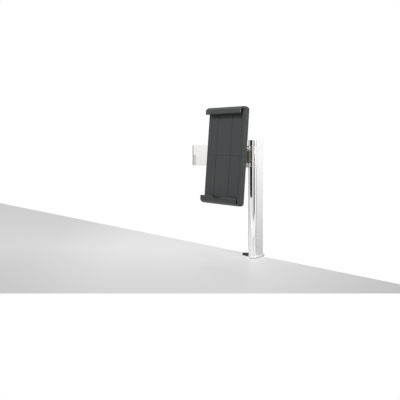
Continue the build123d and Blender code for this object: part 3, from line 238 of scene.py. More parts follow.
def merged_copy(node: str, name: str) -> bpy.types.Object:
    """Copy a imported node's mesh and join its loose triangles.

    Args:
        node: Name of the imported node.
        name: Name of the copy.

    Returns:
        The copy.
    """
    mesh = FRAME["nodes"][node].data.copy()
    mesh.name = name
    work = bmesh.new()
    work.from_mesh(mesh)
    bmesh.ops.remove_doubles(work, verts=work.verts, dist=SAME_PLACE)
    work.to_mesh(mesh)
    work.free()
    return link_object(name, mesh)


def flatten(mesh: bpy.types.Mesh) -> None:
    """Join the triangles that lie in one plane, so that only real edges stay.

    Args:
        mesh: Mesh that is changed in place.
    """
    work = bmesh.new()
    work.from_mesh(mesh)
    bmesh.ops.remove_doubles(work, verts=work.verts, dist=SAME_PLACE)
    bmesh.ops.dissolve_limit(work, angle_limit=FLAT_ANGLE, verts=work.verts,
                             edges=work.edges, use_dissolve_boundaries=False)
    work.to_mesh(mesh)
    work.free()


def shaped_by(piece: bpy.types.Object, tools: list[bpy.types.Object],
              operation: str = "INTERSECT") -> None:
    """Carve a piece with each of the tools and throw the tools away.

    Args:
        piece: Piece that is carved.
        tools: Closed solids that carve it.
        operation: What is done with each, in the modifier's own words.
    """
    for tool in tools:
        carve = piece.modifiers.new("carve", "BOOLEAN")
        carve.solver = "EXACT"
        carve.operation = operation
        carve.object = tool
    graph = bpy.context.evaluated_depsgraph_get()
    mesh = bpy.data.meshes.new_from_object(piece.evaluated_get(graph))
    piece.modifiers.clear()
    piece.data = mesh
    for tool in tools:
        bpy.data.objects.remove(tool)


def dress(piece: bpy.types.Object, node: str, finish: Finish, body: str, bevel: float) -> None:
    """Soften a piece's edges, give it its finish and let it stand in for its node.

    Args:
        piece: The piece, in its place.
        node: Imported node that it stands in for.
        finish: Finish of the piece.
        body: Body that the piece rides on.
        bevel: Width of the softened edges, in metres.
    """
    mesh = piece.data
    flatten(mesh)
    mesh.materials.clear()
    mesh.materials.append(finish.material())
    mesh.shade_smooth()
    if bevel > 0:
        edge = piece.modifiers.new("edge", "BEVEL")
        edge.width = bevel
        edge.segments = EDGE_STEPS
        edge.limit_method = "ANGLE"
        edge.angle_limit = EDGE_ANGLE
        edge.use_clamp_overlap = True
    else:
        mesh.set_sharp_from_angle(angle=EDGE_ANGLE)
    smooth = piece.modifiers.new("normals", "WEIGHTED_NORMAL")
    smooth.keep_sharp = True
    smooth.weight = FACE_WEIGHT
    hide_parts(node)
    settle(piece, body)


def settle(piece: bpy.types.Object, body: str) -> None:
    """Attach a new piece to the body that it rides on.

    Args:
        piece: The piece.
        body: Name of the body.
    """
    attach(piece, body)


def dressed_copy(node: str, finish: Finish, body: str, bevel: float) -> bpy.types.Object:
    """Stand a merged, edge-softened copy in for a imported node.

    Args:
        node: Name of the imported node.
        finish: Finish of the copy.
        body: Body that the copy rides on.
        bevel: Width of the softened edges, in metres.

    Returns:
        The copy.
    """
    made = merged_copy(node, node + "_dressed")
    dress(made, node, finish, body, bevel)
    return made


def keep_node(node: str, finish: Finish) -> None:
    """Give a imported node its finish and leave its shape.

    Args:
        node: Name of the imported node.
        finish: Finish that it gets.
    """
    kept = FRAME["nodes"][node]
    kept.data.materials.clear()
    kept.data.materials.append(finish.material())


class NodeTree:
    """A geometry tree under construction, with named inputs."""

    def __init__(self, name: str) -> None:
        """Start an empty tree.

        Args:
            name: Name of the tree.
        """
        self.tree = bpy.data.node_groups.new(name, "GeometryNodeTree")
        self.tree.interface.new_socket("Geometry", in_out="OUTPUT",
                                       socket_type="NodeSocketGeometry")
        self.values: dict[str, float | int] = {}
        self.inputs = self.tree.nodes.new("NodeGroupInput")
        self.outputs = self.tree.nodes.new("NodeGroupOutput")

    def number(self, name: str, value: float) -> bpy.types.NodeSocket:
        """Add a named number input.

        Args:
            name: Name of the input.
            value: Its value on the modifier.

        Returns:
            The input's socket inside the tree.
        """
        whole = isinstance(value, int)
        kind = "NodeSocketInt" if whole else "NodeSocketFloat"
        made = self.tree.interface.new_socket(name, in_out="INPUT", socket_type=kind)
        self.values[made.identifier] = value
        return self.inputs.outputs[name]

    def add(self, kind: str, **sockets: object) -> bpy.types.Node:
        """Add a node and link or set its inputs.

        Args:
            kind: Type of the node.
            **sockets: Input names, with blanks as underscores, and what they get.

        Returns:
            The new node.
        """
        made = self.tree.nodes.new(kind)
        for key, value in sockets.items():
            socket = made.inputs[key.replace("_", " ")]
            if isinstance(value, bpy.types.NodeSocket):
                self.tree.links.new(value, socket)
            else:
                socket.default_value = value
        return made

    def combine(self, x: object, y: object, z: object) -> bpy.types.NodeSocket:
        """Make a vector from three numbers or sockets.

        Args:
            x: First part.
            y: Second part.
            z: Third part.

        Returns:
            The vector.
        """
        return self.add("ShaderNodeCombineXYZ", X=x, Y=y, Z=z).outputs["Vector"]

    def maths(self, operation: str, *values: object) -> bpy.types.NodeSocket:
        """Add one calculation.

        Args:
            operation: Name of the calculation.
            *values: Sockets or numbers that go in.

        Returns:
            The outcome.
        """
        return maths(self.tree, operation, *values)

    def bake(self, name: str, finish: Finish, place: Matrix,
             shape: bpy.types.NodeSocket) -> bpy.types.Object:
        """Turn the tree's result into a plain, placed object.

        Args:
            name: Name of the object.
            finish: Finish of the object.
            place: Where the shape goes.
            shape: Geometry that the tree puts out.

        Returns:
            The finished object.
        """
        whole = self.add("GeometryNodeRealizeInstances", Geometry=shape)
        paint = self.add("GeometryNodeSetMaterial", Geometry=whole.outputs["Geometry"])
        paint.inputs["Material"].default_value = finish.material()
        self.tree.links.new(paint.outputs["Geometry"], self.outputs.inputs["Geometry"])
        seed = link_object(name + "_seed", bpy.data.meshes.new(name + "_seed"))
        modifier = seed.modifiers.new("shape", "NODES")
        modifier.node_group = self.tree
        for identifier, value in self.values.items():
            modifier[identifier] = value
        seed.update_tag()
        graph = bpy.context.evaluated_depsgraph_get()
        graph.update()
        mesh = bpy.data.meshes.new_from_object(seed.evaluated_get(graph))
        seed.modifiers.remove(modifier)
        bpy.data.objects.remove(seed)
        mesh.transform(place)
        return link_object(name, mesh)


@dataclass
class Clamp:
    """Table clamp: jaw plate, pads, spindle and knob.

    Args:
        thread_top: Height of the thread's upper end.
        thread_low: Height of the thread's lower end.
        spindle_radius: Radius of the spindle.
        pitch: Rise of one turn.
        thread_depth: Depth of the thread.
    """

    thread_top: float = -29.0 * MM
    thread_low: float = -87.0 * MM
    spindle_radius: float = 4.0 * MM
    pitch: float = 1.25 * MM
    thread_depth: float = 0.5 * MM

    def build(self) -> None:
        """Dress the clamp's nodes and add the thread."""
        dressed_copy("clamp_plate", POWDER_BLACK, "base", PLATE_EDGE)
        dressed_copy("clamp_bracket", POWDER_BLACK, "base", FULL_EDGE)
        dressed_copy("clamp_pad", SOFT_BLACK, "base", HAIR_EDGE)
        dressed_copy("foot_trim", SATIN_SILVER, "base", FINE_EDGE)
        dressed_copy("clamp_knob", KNOB_BLACK, "clamp_screw", FULL_EDGE)
        dressed_copy("pressure_plate", ZINC, "clamp_press", FINE_EDGE)
        dressed_copy("pressure_pad", SOFT_BLACK, "clamp_press", HAIR_EDGE)
        spindle = merged_copy("clamp_spindle", "threaded_spindle")
        shaped_by(spindle, [self._groove()], "DIFFERENCE")
        dress(spindle, "clamp_spindle", ZINC, "clamp_screw", NO_EDGE)
        for node in ("column_screws", "clamp_bush"):
            keep_node(node, ZINC)
        LOG.info("clamp dressed")

    def _groove(self) -> bpy.types.Object:
        """Wind the solid that cuts the spindle's thread.

        Returns:
            The solid.
        """
        tree = NodeTree("spindle_groove")
        pitch = tree.number("Pitch", self.pitch)
        height = tree.number("Threaded length", self.thread_top - self.thread_low)
        radius = tree.number("Radius", self.spindle_radius)
        turns = tree.maths("DIVIDE", height, pitch)
        helix = tree.add("GeometryNodeCurveSpiral", Resolution=TURN_STEPS, Rotations=turns,
                         Start_Radius=radius, End_Radius=radius, Height=height)
        profile = tree.add("GeometryNodeCurvePrimitiveCircle", Resolution=GROOVE_SIDES,
                           Radius=tree.number("Depth", self.thread_depth))
        groove = tree.add("GeometryNodeCurveToMesh", Curve=helix.outputs["Curve"],
                          Profile_Curve=profile.outputs["Curve"], Fill_Caps=True)
        place = Matrix.Translation((0.0, 0.0, self.thread_low))
        return tree.bake("spindle_groove", ZINC, place, groove.outputs["Mesh"])


@dataclass
class Column:
    """Polished column with its cap.

    Args:
        edge: Width of the softened edges of the column itself.
    """

    edge: float = NO_EDGE

    def build(self) -> None:
        """Dress the column and its cap."""
        dressed_copy("column", POLISHED, "base", self.edge)
        dressed_copy("column_cap", SATIN_SILVER, "base", HAIR_EDGE)
        LOG.info("column dressed")


@dataclass
class Arm:
    """Two flat links with their elbow, and the height lock.

    Args:
        edge: Width of the links' softened edges.
        eye_end: Place along X beyond which the rear link's faces get the grey finish that paints
            the shade of the elbow's gap onto its eye.
    """

    edge: float = 0.9 * MM
    eye_end: float = -152.0 * MM

    def build(self) -> None:
        """Dress the links, the elbow and the lock."""
        rear = dressed_copy("arm_link_rear", SATIN_SILVER, "arm_rear", self.edge)
        rear.data.materials.append(PAINTED_SHADE_EYE.material())
        # Painted shade: the rear link's faces at the elbow's eye get the darker grey finish.
        for face in rear.data.polygons:
            if face.center.x < self.eye_end:
                face.material_index = 1
        dressed_copy("arm_link_front", SATIN_SILVER, "arm_front", self.edge)
        dressed_copy("elbow_cap_top", SATIN_SILVER, "arm_front", HAIR_EDGE)
        dressed_copy("elbow_cap_bottom", SATIN_SILVER, "arm_rear", HAIR_EDGE)
        dressed_copy("swivel_caps", SATIN_SILVER, "arm_front", HAIR_EDGE)
        dressed_copy("lock_knob", KNOB_BLACK, "lock_knob", SMALL_EDGE)
        for node in ("elbow_bolt", "elbow_nut", "lock_screw", "swivel_pin"):
            keep_node(node, ZINC)
        keep_node("elbow_bushes", BEARING_WHITE)
        keep_node("lock_tip", SOFT_BLACK)
        LOG.info("arm dressed")


@dataclass
class Head:
    """Swivel bracket, tilt head and what joins them.

    Args:
        edge: Width of the softened edges of bracket and head.
    """

    edge: float = FULL_EDGE

    def build(self) -> None:
        """Dress the head's nodes."""
        dressed_copy("swivel_bracket", GREY_CAST, "head_swivel", self.edge)
        dressed_copy("tilt_head", POWDER_BLACK, "head_tilt", self.edge)
        dressed_copy("tilt_bolt", POWDER_BLACK, "head_swivel", SMALL_EDGE)
        dressed_copy("tilt_nut", POWDER_BLACK, "head_swivel", SMALL_EDGE)
        for node in ("swivel_bushes", "tilt_discs", "turn_washer"):
            keep_node(node, BEARING_WHITE)
        for node in ("detent_balls", "spindle_nut"):
            keep_node(node, ZINC)
        LOG.info("head dressed")


@dataclass
class Holder:
    """Self-centring holder: two jaws on a carrier with pinion and racks.

    Args:
        edge: Width of the softened edges.
        tilt_axis_y: Place of the tilt axis along Y.
        middle: Height of the tilt axis.
        face_reach: Distance from the tilt axis to the holder's face.
        side: Place of the holder's middle along X.
        lean: How far the face leans back, in degrees.
        half_length: Half length of the closed holder.
        half_width: Half width.
        depth: Depth of the body behind the face.
        lip: Reach of the lips in front of the face.
        round_front: Radius of the lips' outer round.
        round_back: Radius of the round behind it.
        lip_corner: Radius of the lips' corners at the sides.
        back_corner: Radius of the long edges at the back.
        rib_pitch: Distance between the ribs of the soft strips.
        rib_half: Half width of the ribbed stretch.
        rib_clear: Half width of the stretch that the notch leaves bare.
        rib_radius: Radius of a rib.
        rib_length: Length of a rib.
        rib_seat: Place of the ribs' middle line along the jaw.
        rib_middle: Place of the ribs' middle in front of the face.
        lip_tip: Place of the lip's tip along the jaw.
        lip_back: Reach of the lip's inner face in front of the holder's face.
        tip_edge: Radius of the front edge of the lip's tip.
        tip_spare: How far the solids that round the tip stand out of it.
        socket_radius: Radius of the screws' sockets, over the corners.
        socket_depth: Depth of the sockets.
    """

    edge: float = 0.8 * MM
    tilt_axis_y: float = -48.35 * MM
    middle: float = 223.5 * MM
    face_reach: float = 45.4 * MM
    side: float = -13.0 * MM
    lean: float = 5.53
    half_length: float = 102.6 * MM
    half_width: float = 48.3 * MM
    depth: float = 22.0 * MM
    lip: float = 12.3 * MM
    round_front: float = 15.0 * MM
    round_back: float = 13.0 * MM
    lip_corner: float = 4.0 * MM
    back_corner: float = 6.0 * MM
    rib_pitch: float = 4.0 * MM
    rib_half: float = 38.0 * MM
    rib_clear: float = 13.0 * MM
    rib_radius: float = 0.6 * MM
    rib_length: float = 4.6 * MM
    rib_seat: float = 96.5 * MM
    rib_middle: float = 3.35 * MM
    lip_tip: float = 86.0 * MM
    lip_back: float = 8.6 * MM
    tip_edge: float = 1.8 * MM
    tip_spare: float = 2.0 * MM
    socket_radius: float = 1.1 * MM
    socket_depth: float = 1.2 * MM

    def build(self) -> None:
        """Dress the holder's nodes and round the jaws' ends."""
        for side in Side:
            name = side.value
            body = merged_copy(name + "_body", name + "_shell")
            shaped_by(body, [self._end_round(side), self._cross_round(side)])
            shaped_by(body, self._tip_rounds(side), "DIFFERENCE")
            dress(body, name + "_body", CHARCOAL, name, self.edge)
            dressed_copy(name + "_panel", CHARCOAL_FACE, name, FINE_EDGE)
            dressed_copy(name + "_liner", SOFT_BLACK, name, HAIR_EDGE)
            settle(self._ribs(side), name)
            keep_node(name + "_rack", BEARING_WHITE)
            screws = merged_copy(name + "_screws", name + "_socket_screws")
            shaped_by(screws, self._sockets(screws, side), "DIFFERENCE")
            dress(screws, name + "_screws", ZINC, name, NO_EDGE)
        dressed_copy("holder_carrier", KNOB_BLACK, "holder", SMALL_EDGE)
        keep_node("pinion_cover", KNOB_BLACK)
        keep_node("centring_pinion", BEARING_WHITE)
        for node in ("axle_plug", "closing_spring", "cover_screws"):
            keep_node(node, ZINC)
        LOG.info("holder dressed")

    def place(self, side: Side) -> Matrix:
        """Give the place of a jaw: u across, v along, w out of the face.

        Args:
            side: Which jaw.

        Returns:
            Matrix from the jaw's own frame to the mount's.
        """
        lean = math.radians(self.lean)
        sine, cosine = math.sin(lean), math.cos(lean)
        face_y = self.tilt_axis_y - self.face_reach * cosine
        face_z = self.middle + self.face_reach * sine
        upright = Matrix(((1.0, 0.0, 0.0, self.side), (0.0, sine, -cosine, face_y),
                          (0.0, cosine, sine, face_z), (0.0, 0.0, 0.0, 1.0)))
        if side is Side.LOWER:
            return upright @ Matrix.Rotation(math.pi, 4, "Z")
        return upright

    def _end_round(self, side: Side) -> bpy.types.Object:
        """Make the solid that rounds a jaw's end as seen from the side.

        Args:
            side: Which jaw.

        Returns:
            The solid, to be kept in common with the jaw.
        """
        start, reach = -self.half_width, 1.5 * self.half_width
        end, front, back = self.half_length, self.lip, -self.depth
        large, small = self.round_front, self.round_back
        points = [(start, back), (start, front)]
        points += arc(end - large, front - large, large, 90.0, 0.0)
        points += arc(end - small, back + small, small, 0.0, -90.0)
        rings = [[Vector((u, v, w)) for v, w in points] for u in (-reach, reach)]
        return prism("end_round", rings, self.place(side))

    def _tip_rounds(self, side: Side) -> list[bpy.types.Object]:
        """Make the solids that round the lip's tip: its front edge and its two corners.

        Args:
            side: Which jaw.

        Returns:
            The solids, to be cut away from the jaw.
        """
        half, front, tip = self.half_width, self.lip, self.lip_tip
        edge, corner, spare = self.tip_edge, self.lip_corner, self.tip_spare
        reach = 1.2 * half
        points = [(tip - spare, front - edge), (tip - spare, front + spare),
                  (tip + edge, front + spare)]
        points += arc(tip + edge, front - edge, edge, 90.0, 180.0)
        rings = [[Vector((u, v, w)) for v, w in points] for u in (-reach, reach)]
        tools = [prism("tip_edge", rings, self.place(side))]
        for way in (-1.0, 1.0):
            points = [(half + spare, tip + corner), (half + spare, tip - spare),
                      (half - corner, tip - spare)]
            points += arc(half - corner, tip + corner, corner, -90.0, 0.0)
            rings = [[Vector((way * u, v, w)) for u, v in points]
                     for w in (self.lip_back - spare, front + spare)]
            tools.append(prism("tip_corner", rings, self.place(side)))
        return tools

    def _sockets(self, screws: bpy.types.Object, side: Side) -> list[bpy.types.Object]:
        """Make the solids that cut a six-sided socket into each screw head at the back.

        Args:
            screws: The jaw's screws, merged.
            side: Which jaw.

        Returns:
            The solids, to be cut away from the screws.
        """
        tools = []
        inside = self.place(side).inverted()
        for island in islands(screws.data):
            points = [inside @ point for point in island]
            low = min(point.z for point in points)
            if low > self.socket_depth - self.depth:
                continue
            middle = sum(points, Vector()) / len(points)
            ring = arc(middle.x, middle.y, self.socket_radius, *HEXAGON)
            rings = [[Vector((u, v, w)) for u, v in ring]
                     for w in (low - self.socket_depth, low + self.socket_depth)]
            tools.append(prism("socket", rings, self.place(side)))
        return tools

    def _ribs(self, side: Side) -> bpy.types.Object:
        """Grow the fine ribs on a jaw's soft strip, with the notch's stretch left bare.

        Args:
            side: Which jaw.

        Returns:
            The ribs, in their place.
        """
        tree = NodeTree(side.value + "_ribs")
        clear = self.rib_clear if side is Side.LOWER else 0.0
        half = tree.number("Half stretch", self.rib_half)
        pitch = tree.number("Pitch", self.rib_pitch)
        bare = tree.number("Bare half stretch", clear)
        steps = tree.maths("DIVIDE", tree.maths("MULTIPLY", half, 2.0), pitch)
        count = tree.maths("ADD", tree.maths("FLOOR", steps), 1.0)
        start = tree.combine(tree.maths("MULTIPLY", half, -1.0), 0.0, 0.0)
        line = tree.add("GeometryNodeMeshLine", Count=count, Start_Location=start,
                        Offset=tree.combine(pitch, 0.0, 0.0))
        position = tree.add("GeometryNodeInputPosition").outputs["Position"]
        across = tree.add("ShaderNodeSeparateXYZ", Vector=position).outputs["X"]
        near = tree.maths("LESS_THAN", tree.maths("ABSOLUTE", across), bare)
        kept = tree.add("GeometryNodeDeleteGeometry", Geometry=line.outputs["Mesh"], Selection=near)
        rib = tree.add("GeometryNodeMeshCylinder", Vertices=RIB_SIDES,
                       Radius=tree.number("Rib radius", self.rib_radius),
                       Depth=tree.number("Rib length", self.rib_length))
        grown = tree.add("GeometryNodeInstanceOnPoints", Points=kept.outputs["Geometry"],
                         Instance=rib.outputs["Mesh"])
        shift = Matrix.Translation((0.0, self.rib_seat, self.rib_middle))
        return tree.bake(side.value + "_ribs", SOFT_BLACK, self.place(side) @ shift,
                         grown.outputs["Instances"])

    def _cross_round(self, side: Side) -> bpy.types.Object:
        """Make the solid that rounds the lips' corners and the long back edges.

        Args:
            side: Which jaw.

        Returns:
            The solid, to be kept in common with the jaw.
        """
        half, front, back = self.half_width, self.lip, -self.depth
        lip, rear = self.lip_corner, self.back_corner
        points = arc(half - lip, front - lip, lip, 90.0, 0.0)
        points += arc(half - rear, back + rear, rear, 0.0, -90.0)
        points += arc(rear - half, back + rear, rear, -90.0, -180.0)
        points += arc(lip - half, front - lip, lip, 180.0, 90.0)
        rings = [[Vector((u, v, w)) for u, w in points]
                 for v in (-half, self.half_length + half)]
        return prism("cross_round", rings, self.place(side))


def islands(mesh: bpy.types.Mesh) -> list[list[Vector]]:
    """Sort a mesh's points by the closed shells that they belong to.

    Args:
        mesh: The mesh.

    Returns:
        The points of each shell.
    """
    work = bmesh.new()
    work.from_mesh(mesh)
    left = set(work.verts)
    found = []
    for first in work.verts:
        if first not in left:
            continue
        left.discard(first)
        shell = [first]
        for vert in shell:
            for edge in vert.link_edges:
                other = edge.other_vert(vert)
                if other in left:
                    left.discard(other)
                    shell.append(other)
        found.append([vert.co.copy() for vert in shell])
    work.free()
    return found


def arc(x: float, y: float, radius: float, start: float, end: float,
        steps: int = 14) -> list[tuple[float, float]]:
    """Give the points of an arc.

    Args:
        x: Middle, first coordinate.
        y: Middle, second coordinate.
        radius: Radius.
        start: First angle, in degrees.
        end: Last angle, in degrees.
        steps: Number of chords.

    Returns:
        The points, both ends included.
    """
    turns = [math.radians(start + (end - start) * i / steps) for i in range(steps + 1)]
    return [(x + radius * math.cos(a), y + radius * math.sin(a)) for a in turns]


def prism(name: str, rings: list[list[Vector]], place: Matrix) -> bpy.types.Object:
    """Join two like outlines into a closed solid.

    Args:
        name: Name of the object.
        rings: The outline at either end.
        place: Where the solid goes.

    Returns:
        The solid.
    """
    work = bmesh.new()
    ends = [[work.verts.new(point) for point in ring] for ring in rings]
    count = len(ends[0])
    for i in range(count):
        j = (i + 1) % count
        work.faces.new((ends[0][i], ends[0][j], ends[1][j], ends[1][i]))
    work.faces.new(ends[0])
    work.faces.new(ends[1])
    bmesh.ops.recalc_face_normals(work, faces=work.faces)
    mesh = bpy.data.meshes.new(name)
    work.to_mesh(mesh)
    work.free()
    mesh.transform(place)
    return link_object(name, mesh)


@dataclass(frozen=True)
class Lamp:
    """One square soft light.

    Args:
        name: Name of the light.
        place: Where it hangs.
        aim: Point that it faces.
        size: Side of the square.
        power: Its power in watts.
        on_matt: Whether matt surfaces get its light, and not only those that mirror it.
    """

    name: str
    place: Triple
    aim: Triple
    size: float
    power: float
    on_matt: bool = True

    def hang(self) -> None:
        """Put the light into the scene."""
        data = bpy.data.lights.new(self.name, "AREA")
        data.size = self.size
        data.energy = self.power
        lamp = bpy.data.objects.new(self.name, data)
        lamp.location = self.place
        way = Vector(self.aim) - Vector(self.place)
        lamp.rotation_euler = way.to_track_quat("-Z", "Y").to_euler()
        lamp.visible_diffuse = self.on_matt
        bpy.context.scene.collection.objects.link(lamp)


LAMPS = (
    Lamp("key", (0.3, -1.5, 1.6), (0.0, 0.0, 0.2), 0.35, 36.0),
    Lamp("ridge", (-0.37, 0.28, 1.95), (0.0, -0.1, 0.3), 0.5, 45.0, on_matt=False),
    Lamp("right", (1.6, -0.1, 0.7), (0.0, 0.0, 0.2), 0.8, 12.0),
)


@dataclass
class Studio:
    """Table top, background, lights and camera.

    Args:
        eye: Place of the camera.
        turn: Turn of the camera about Z, in degrees.
        lens: Focal length, in millimetres.
        sensor: Width of the camera's sensor, in millimetres.
        shift: Vertical shift of the picture.
        nearest: Distance from which the camera sees things.
        table_edge: Far edge of the table top.
        near_depth: Depth at which the table top ends towards the camera.
        table_reach: How far the table top runs to the sides.
        table_grey: Base level of the table top.
        table_roughness: Its roughness.
        glow: Level of the table top's painted light, an emission that is lower at its near end and
            higher farther back.
        glow_depth: Depth over which that level changes.
        fall_place: How far left of the camera's line the table top is brightest.
        fall_reach: Distances from there between which its painted light falls towards the sides.
        fall: How much it falls.
        near_sheet: Depth of the white sheet in front of the table top.
        ambient: Level of the surroundings as light.
        ambient_back: Share of that level that is left behind the mount.
        band_turn: Direction of the dark band that metal mirrors, in degrees from X.
        band_half: Half width of the band, in degrees.
        band_soft: Width of its soft edge, in degrees.
        band_level: Level in the band.
        shade_turn: Direction of the grey stretch that metal mirrors, in degrees from X.
        shade_half: Half width of the grey stretch, in degrees.
        shade_soft: Width of its soft edge, in degrees.
        shade_level: Level in the grey stretch.
        cap_half: Half angle of the dark behind the mount that edges mirror, in degrees.
        cap_soft: Width of its soft edge, in degrees.
        cap_level: Level in that dark.
        low_reach: Sines of the elevations between which what metal mirrors turns white.
        low_level: Level below them.
        lamps: The lights.
    """

    eye: Triple = (0.6423, -0.85575, 0.2576)
    turn: float = 43.45
    lens: float = 43.02
    sensor: float = 36.0
    shift: float = -0.147
    nearest: float = 0.01
    table_edge: float = 17.0 * MM
    near_depth: float = 0.8085
    table_reach: float = 3.0
    table_grey: float = 0.2
    table_roughness: float = 0.6
    glow: Pair = (0.4, 0.58)
    glow_depth: float = 0.35
    fall_place: float = 0.03
    fall_reach: Pair = (0.15, 0.37)
    fall: float = 0.1
    near_sheet: float = 0.25
    ambient: float = 0.16
    ambient_back: float = 0.25
    band_turn: float = -18.5
    band_half: float = 15.0
    band_soft: float = 2.0
    band_level: float = 0.1
    shade_turn: float = -164.5
    shade_half: float = 12.0
    shade_soft: float = 8.0
    shade_level: float = 0.5
    cap_half: float = 42.0
    cap_soft: float = 12.0
    cap_level: float = 0.05
    low_reach: Pair = (-0.22, -0.03)
    low_level: float = 0.6
    lamps: tuple[Lamp, ...] = LAMPS

    def build(self) -> None:
        """Build the whole surroundings."""
        self._table()
        self._world()
        for lamp in self.lamps:
            lamp.hang()
        self._camera()
        bpy.context.scene.view_settings.view_transform = "Standard"
        LOG.info("studio ready")

    def _table(self) -> None:
        """Lay the pale table top, whose far edge runs behind the column, and the near sheet."""
        ahead = self._ahead()
        across = Vector((ahead.y, -ahead.x, 0.0))
        near = Vector((self.eye[0], self.eye[1], 0.0)) + ahead * self.near_depth
        right = near + across * ((self.table_edge - near.y) / across.y)
        left = near - across * self.table_reach
        far_left = Vector((left.x - self.table_reach, self.table_edge, 0.0))
        corners = [right, far_left, Vector((far_left.x, left.y, 0.0)), left]
        lay_sheet("table_top", corners, self._painted_light_table(near, ahead, across))
        reach, depth = across * self.table_reach, ahead * self.near_sheet
        corners = [near - reach, near - reach - depth, near + reach - depth, near + reach]
        lay_sheet("near_sheet", corners, self._plain())

    def _painted_light_table(self, near: Vector, ahead: Vector, across: Vector) -> bpy.types.Material:
        """Make the table top's material, whose emission is painted light: brighter farther back,
        darker at its near end and at the sides.

        Args:
            near: Point of the table top's cut that lies straight ahead of the camera.
            ahead: Level direction in which the camera looks.
            across: Level direction to the camera's right.

        Returns:
            The material.
        """
        material = bpy.data.materials.new("painted_light_table")
        material.use_nodes = True
        tree = material.node_tree
        shader = tree.nodes["Principled BSDF"]
        grey = self.table_grey
        shader.inputs["Roughness"].default_value = self.table_roughness
        shader.inputs["Base Color"].default_value = (grey, grey, grey, 1.0)
        shader.inputs["Emission Color"].default_value = WHITE
        place = tree.nodes.new("ShaderNodeTexCoord").outputs["Object"]
        # Painted light: the emission fades from the far part to the near end and falls off towards
        # the sides.
        depth = vector_maths(tree, "DOT_PRODUCT", place, ahead).outputs["Value"]
        start = near.dot(ahead)
        fade = ramp(tree, depth, (start, start + self.glow_depth), self.glow)
        aside = vector_maths(tree, "DOT_PRODUCT", place, across).outputs["Value"]
        off = maths(tree, "SUBTRACT", aside, near.dot(across) - self.fall_place)
        fall = ramp(tree, maths(tree, "ABSOLUTE", off), self.fall_reach, (0.0, self.fall))
        level = maths(tree, "SUBTRACT", fade, fall)
        tree.links.new(level, shader.inputs["Emission Strength"])
        return material

    @staticmethod
    def _plain() -> bpy.types.Material:
        """Make the white that is seen and mirrored and lights nothing.

        Returns:
            The material.
        """
        material = bpy.data.materials.new("plain_white")
        material.use_nodes = True
        tree = material.node_tree
        path = tree.nodes.new("ShaderNodeLightPath")
        seen = maths(tree, "MAXIMUM", looked_at(tree, path), path.outputs["Is Glossy Ray"])
        glow = tree.nodes.new("ShaderNodeEmission")
        tree.links.new(seen, glow.inputs["Strength"])
        tree.links.new(glow.outputs["Emission"], tree.nodes["Material Output"].inputs["Surface"])
        return material

    def _world(self) -> None:
        """White behind everything, with soft light and a graded round for what metal mirrors."""
        world = bpy.data.worlds.new("studio")
        bpy.context.scene.world = world
        world.use_nodes = True
        tree = world.node_tree
        back = tree.nodes["Background"]
        back.inputs["Color"].default_value = WHITE
        heading = tree.nodes.new("ShaderNodeTexCoord").outputs["Generated"]
        flat = vector_maths(tree, "MULTIPLY", heading, (1.0, 1.0, 0.0)).outputs["Vector"]
        level = vector_maths(tree, "NORMALIZE", flat).outputs["Vector"]
        ahead, up = self._ahead(), Vector((0.0, 0.0, 1.0))
        band = self._step(tree, level, self._way(self.band_turn),
                          self._cosines(self.band_half, self.band_soft), (1.0, self.band_level))
        shade = self._step(tree, level, self._way(self.shade_turn),
                           self._cosines(self.shade_half, self.shade_soft), (1.0, self.shade_level))
        cap = self._step(tree, heading, ahead, self._cosines(self.cap_half, self.cap_soft),
                         (1.0, self.cap_level))
        low = self._step(tree, heading, up, self.low_reach, (self.low_level, 1.0))
        front = self._step(tree, heading, -ahead, (-1.0, 1.0),
                           (self.ambient_back * self.ambient, self.ambient))
        mirrored = maths(tree, "MULTIPLY", band, shade)
        mirrored = maths(tree, "MULTIPLY", mirrored, cap)
        mirrored = maths(tree, "MULTIPLY", mirrored, low)
        path = tree.nodes.new("ShaderNodeLightPath")
        light = blend(tree, path.outputs["Is Glossy Ray"], front, mirrored)
        light = blend(tree, looked_at(tree, path), light, 1.0)
        tree.links.new(light, back.inputs["Strength"])

    def _ahead(self) -> Vector:
        """Give the level direction in which the camera looks.

        Returns:
            The direction, of length one.
        """
        angle = math.radians(self.turn)
        return Vector((-math.sin(angle), math.cos(angle), 0.0))

    @staticmethod
    def _way(turn: float) -> Vector:
        """Give a level direction.

        Args:
            turn: Its angle from X, in degrees.

        Returns:
            The direction, of length one.
        """
        angle = math.radians(turn)
        return Vector((math.cos(angle), math.sin(angle), 0.0))

    @staticmethod
    def _cosines(half: float, soft: float) -> Pair:
        """Give the cosines of a cone's outer and inner half angle.

        Args:
            half: Inner half angle, in degrees.
            soft: Width of the soft edge, in degrees.

        Returns:
            Cosine at the outside of the soft edge, and at its inside.
        """
        return math.cos(math.radians(half + soft)), math.cos(math.radians(half))

    @staticmethod
    def _step(tree: bpy.types.NodeTree, heading: bpy.types.NodeSocket, way: Vector,
              reach: Pair, levels: Pair) -> bpy.types.NodeSocket:
        """Add a level that depends on how far a direction follows a given way.

        Args:
            tree: Node tree of the world.
            heading: Direction that is looked at.
            way: Direction that it is set against.
            reach: Cosines between which the level changes.
            levels: Level at the first cosine and at the second.

        Returns:
            The level.
        """
        along = vector_maths(tree, "DOT_PRODUCT", heading, way).outputs["Value"]
        return ramp(tree, along, reach, levels)

    def _camera(self) -> None:
        """Set the level camera at the photograph's angle."""
        data = bpy.data.cameras.new("camera")
        data.lens = self.lens
        data.sensor_width = self.sensor
        data.sensor_fit = "HORIZONTAL"
        data.shift_y = self.shift
        data.clip_start = self.nearest
        camera = bpy.data.objects.new("camera", data)
        camera.location = self.eye
        camera.rotation_euler = (math.radians(90.0), 0.0, math.radians(self.turn))
        bpy.context.scene.collection.objects.link(camera)
        bpy.context.scene.camera = camera


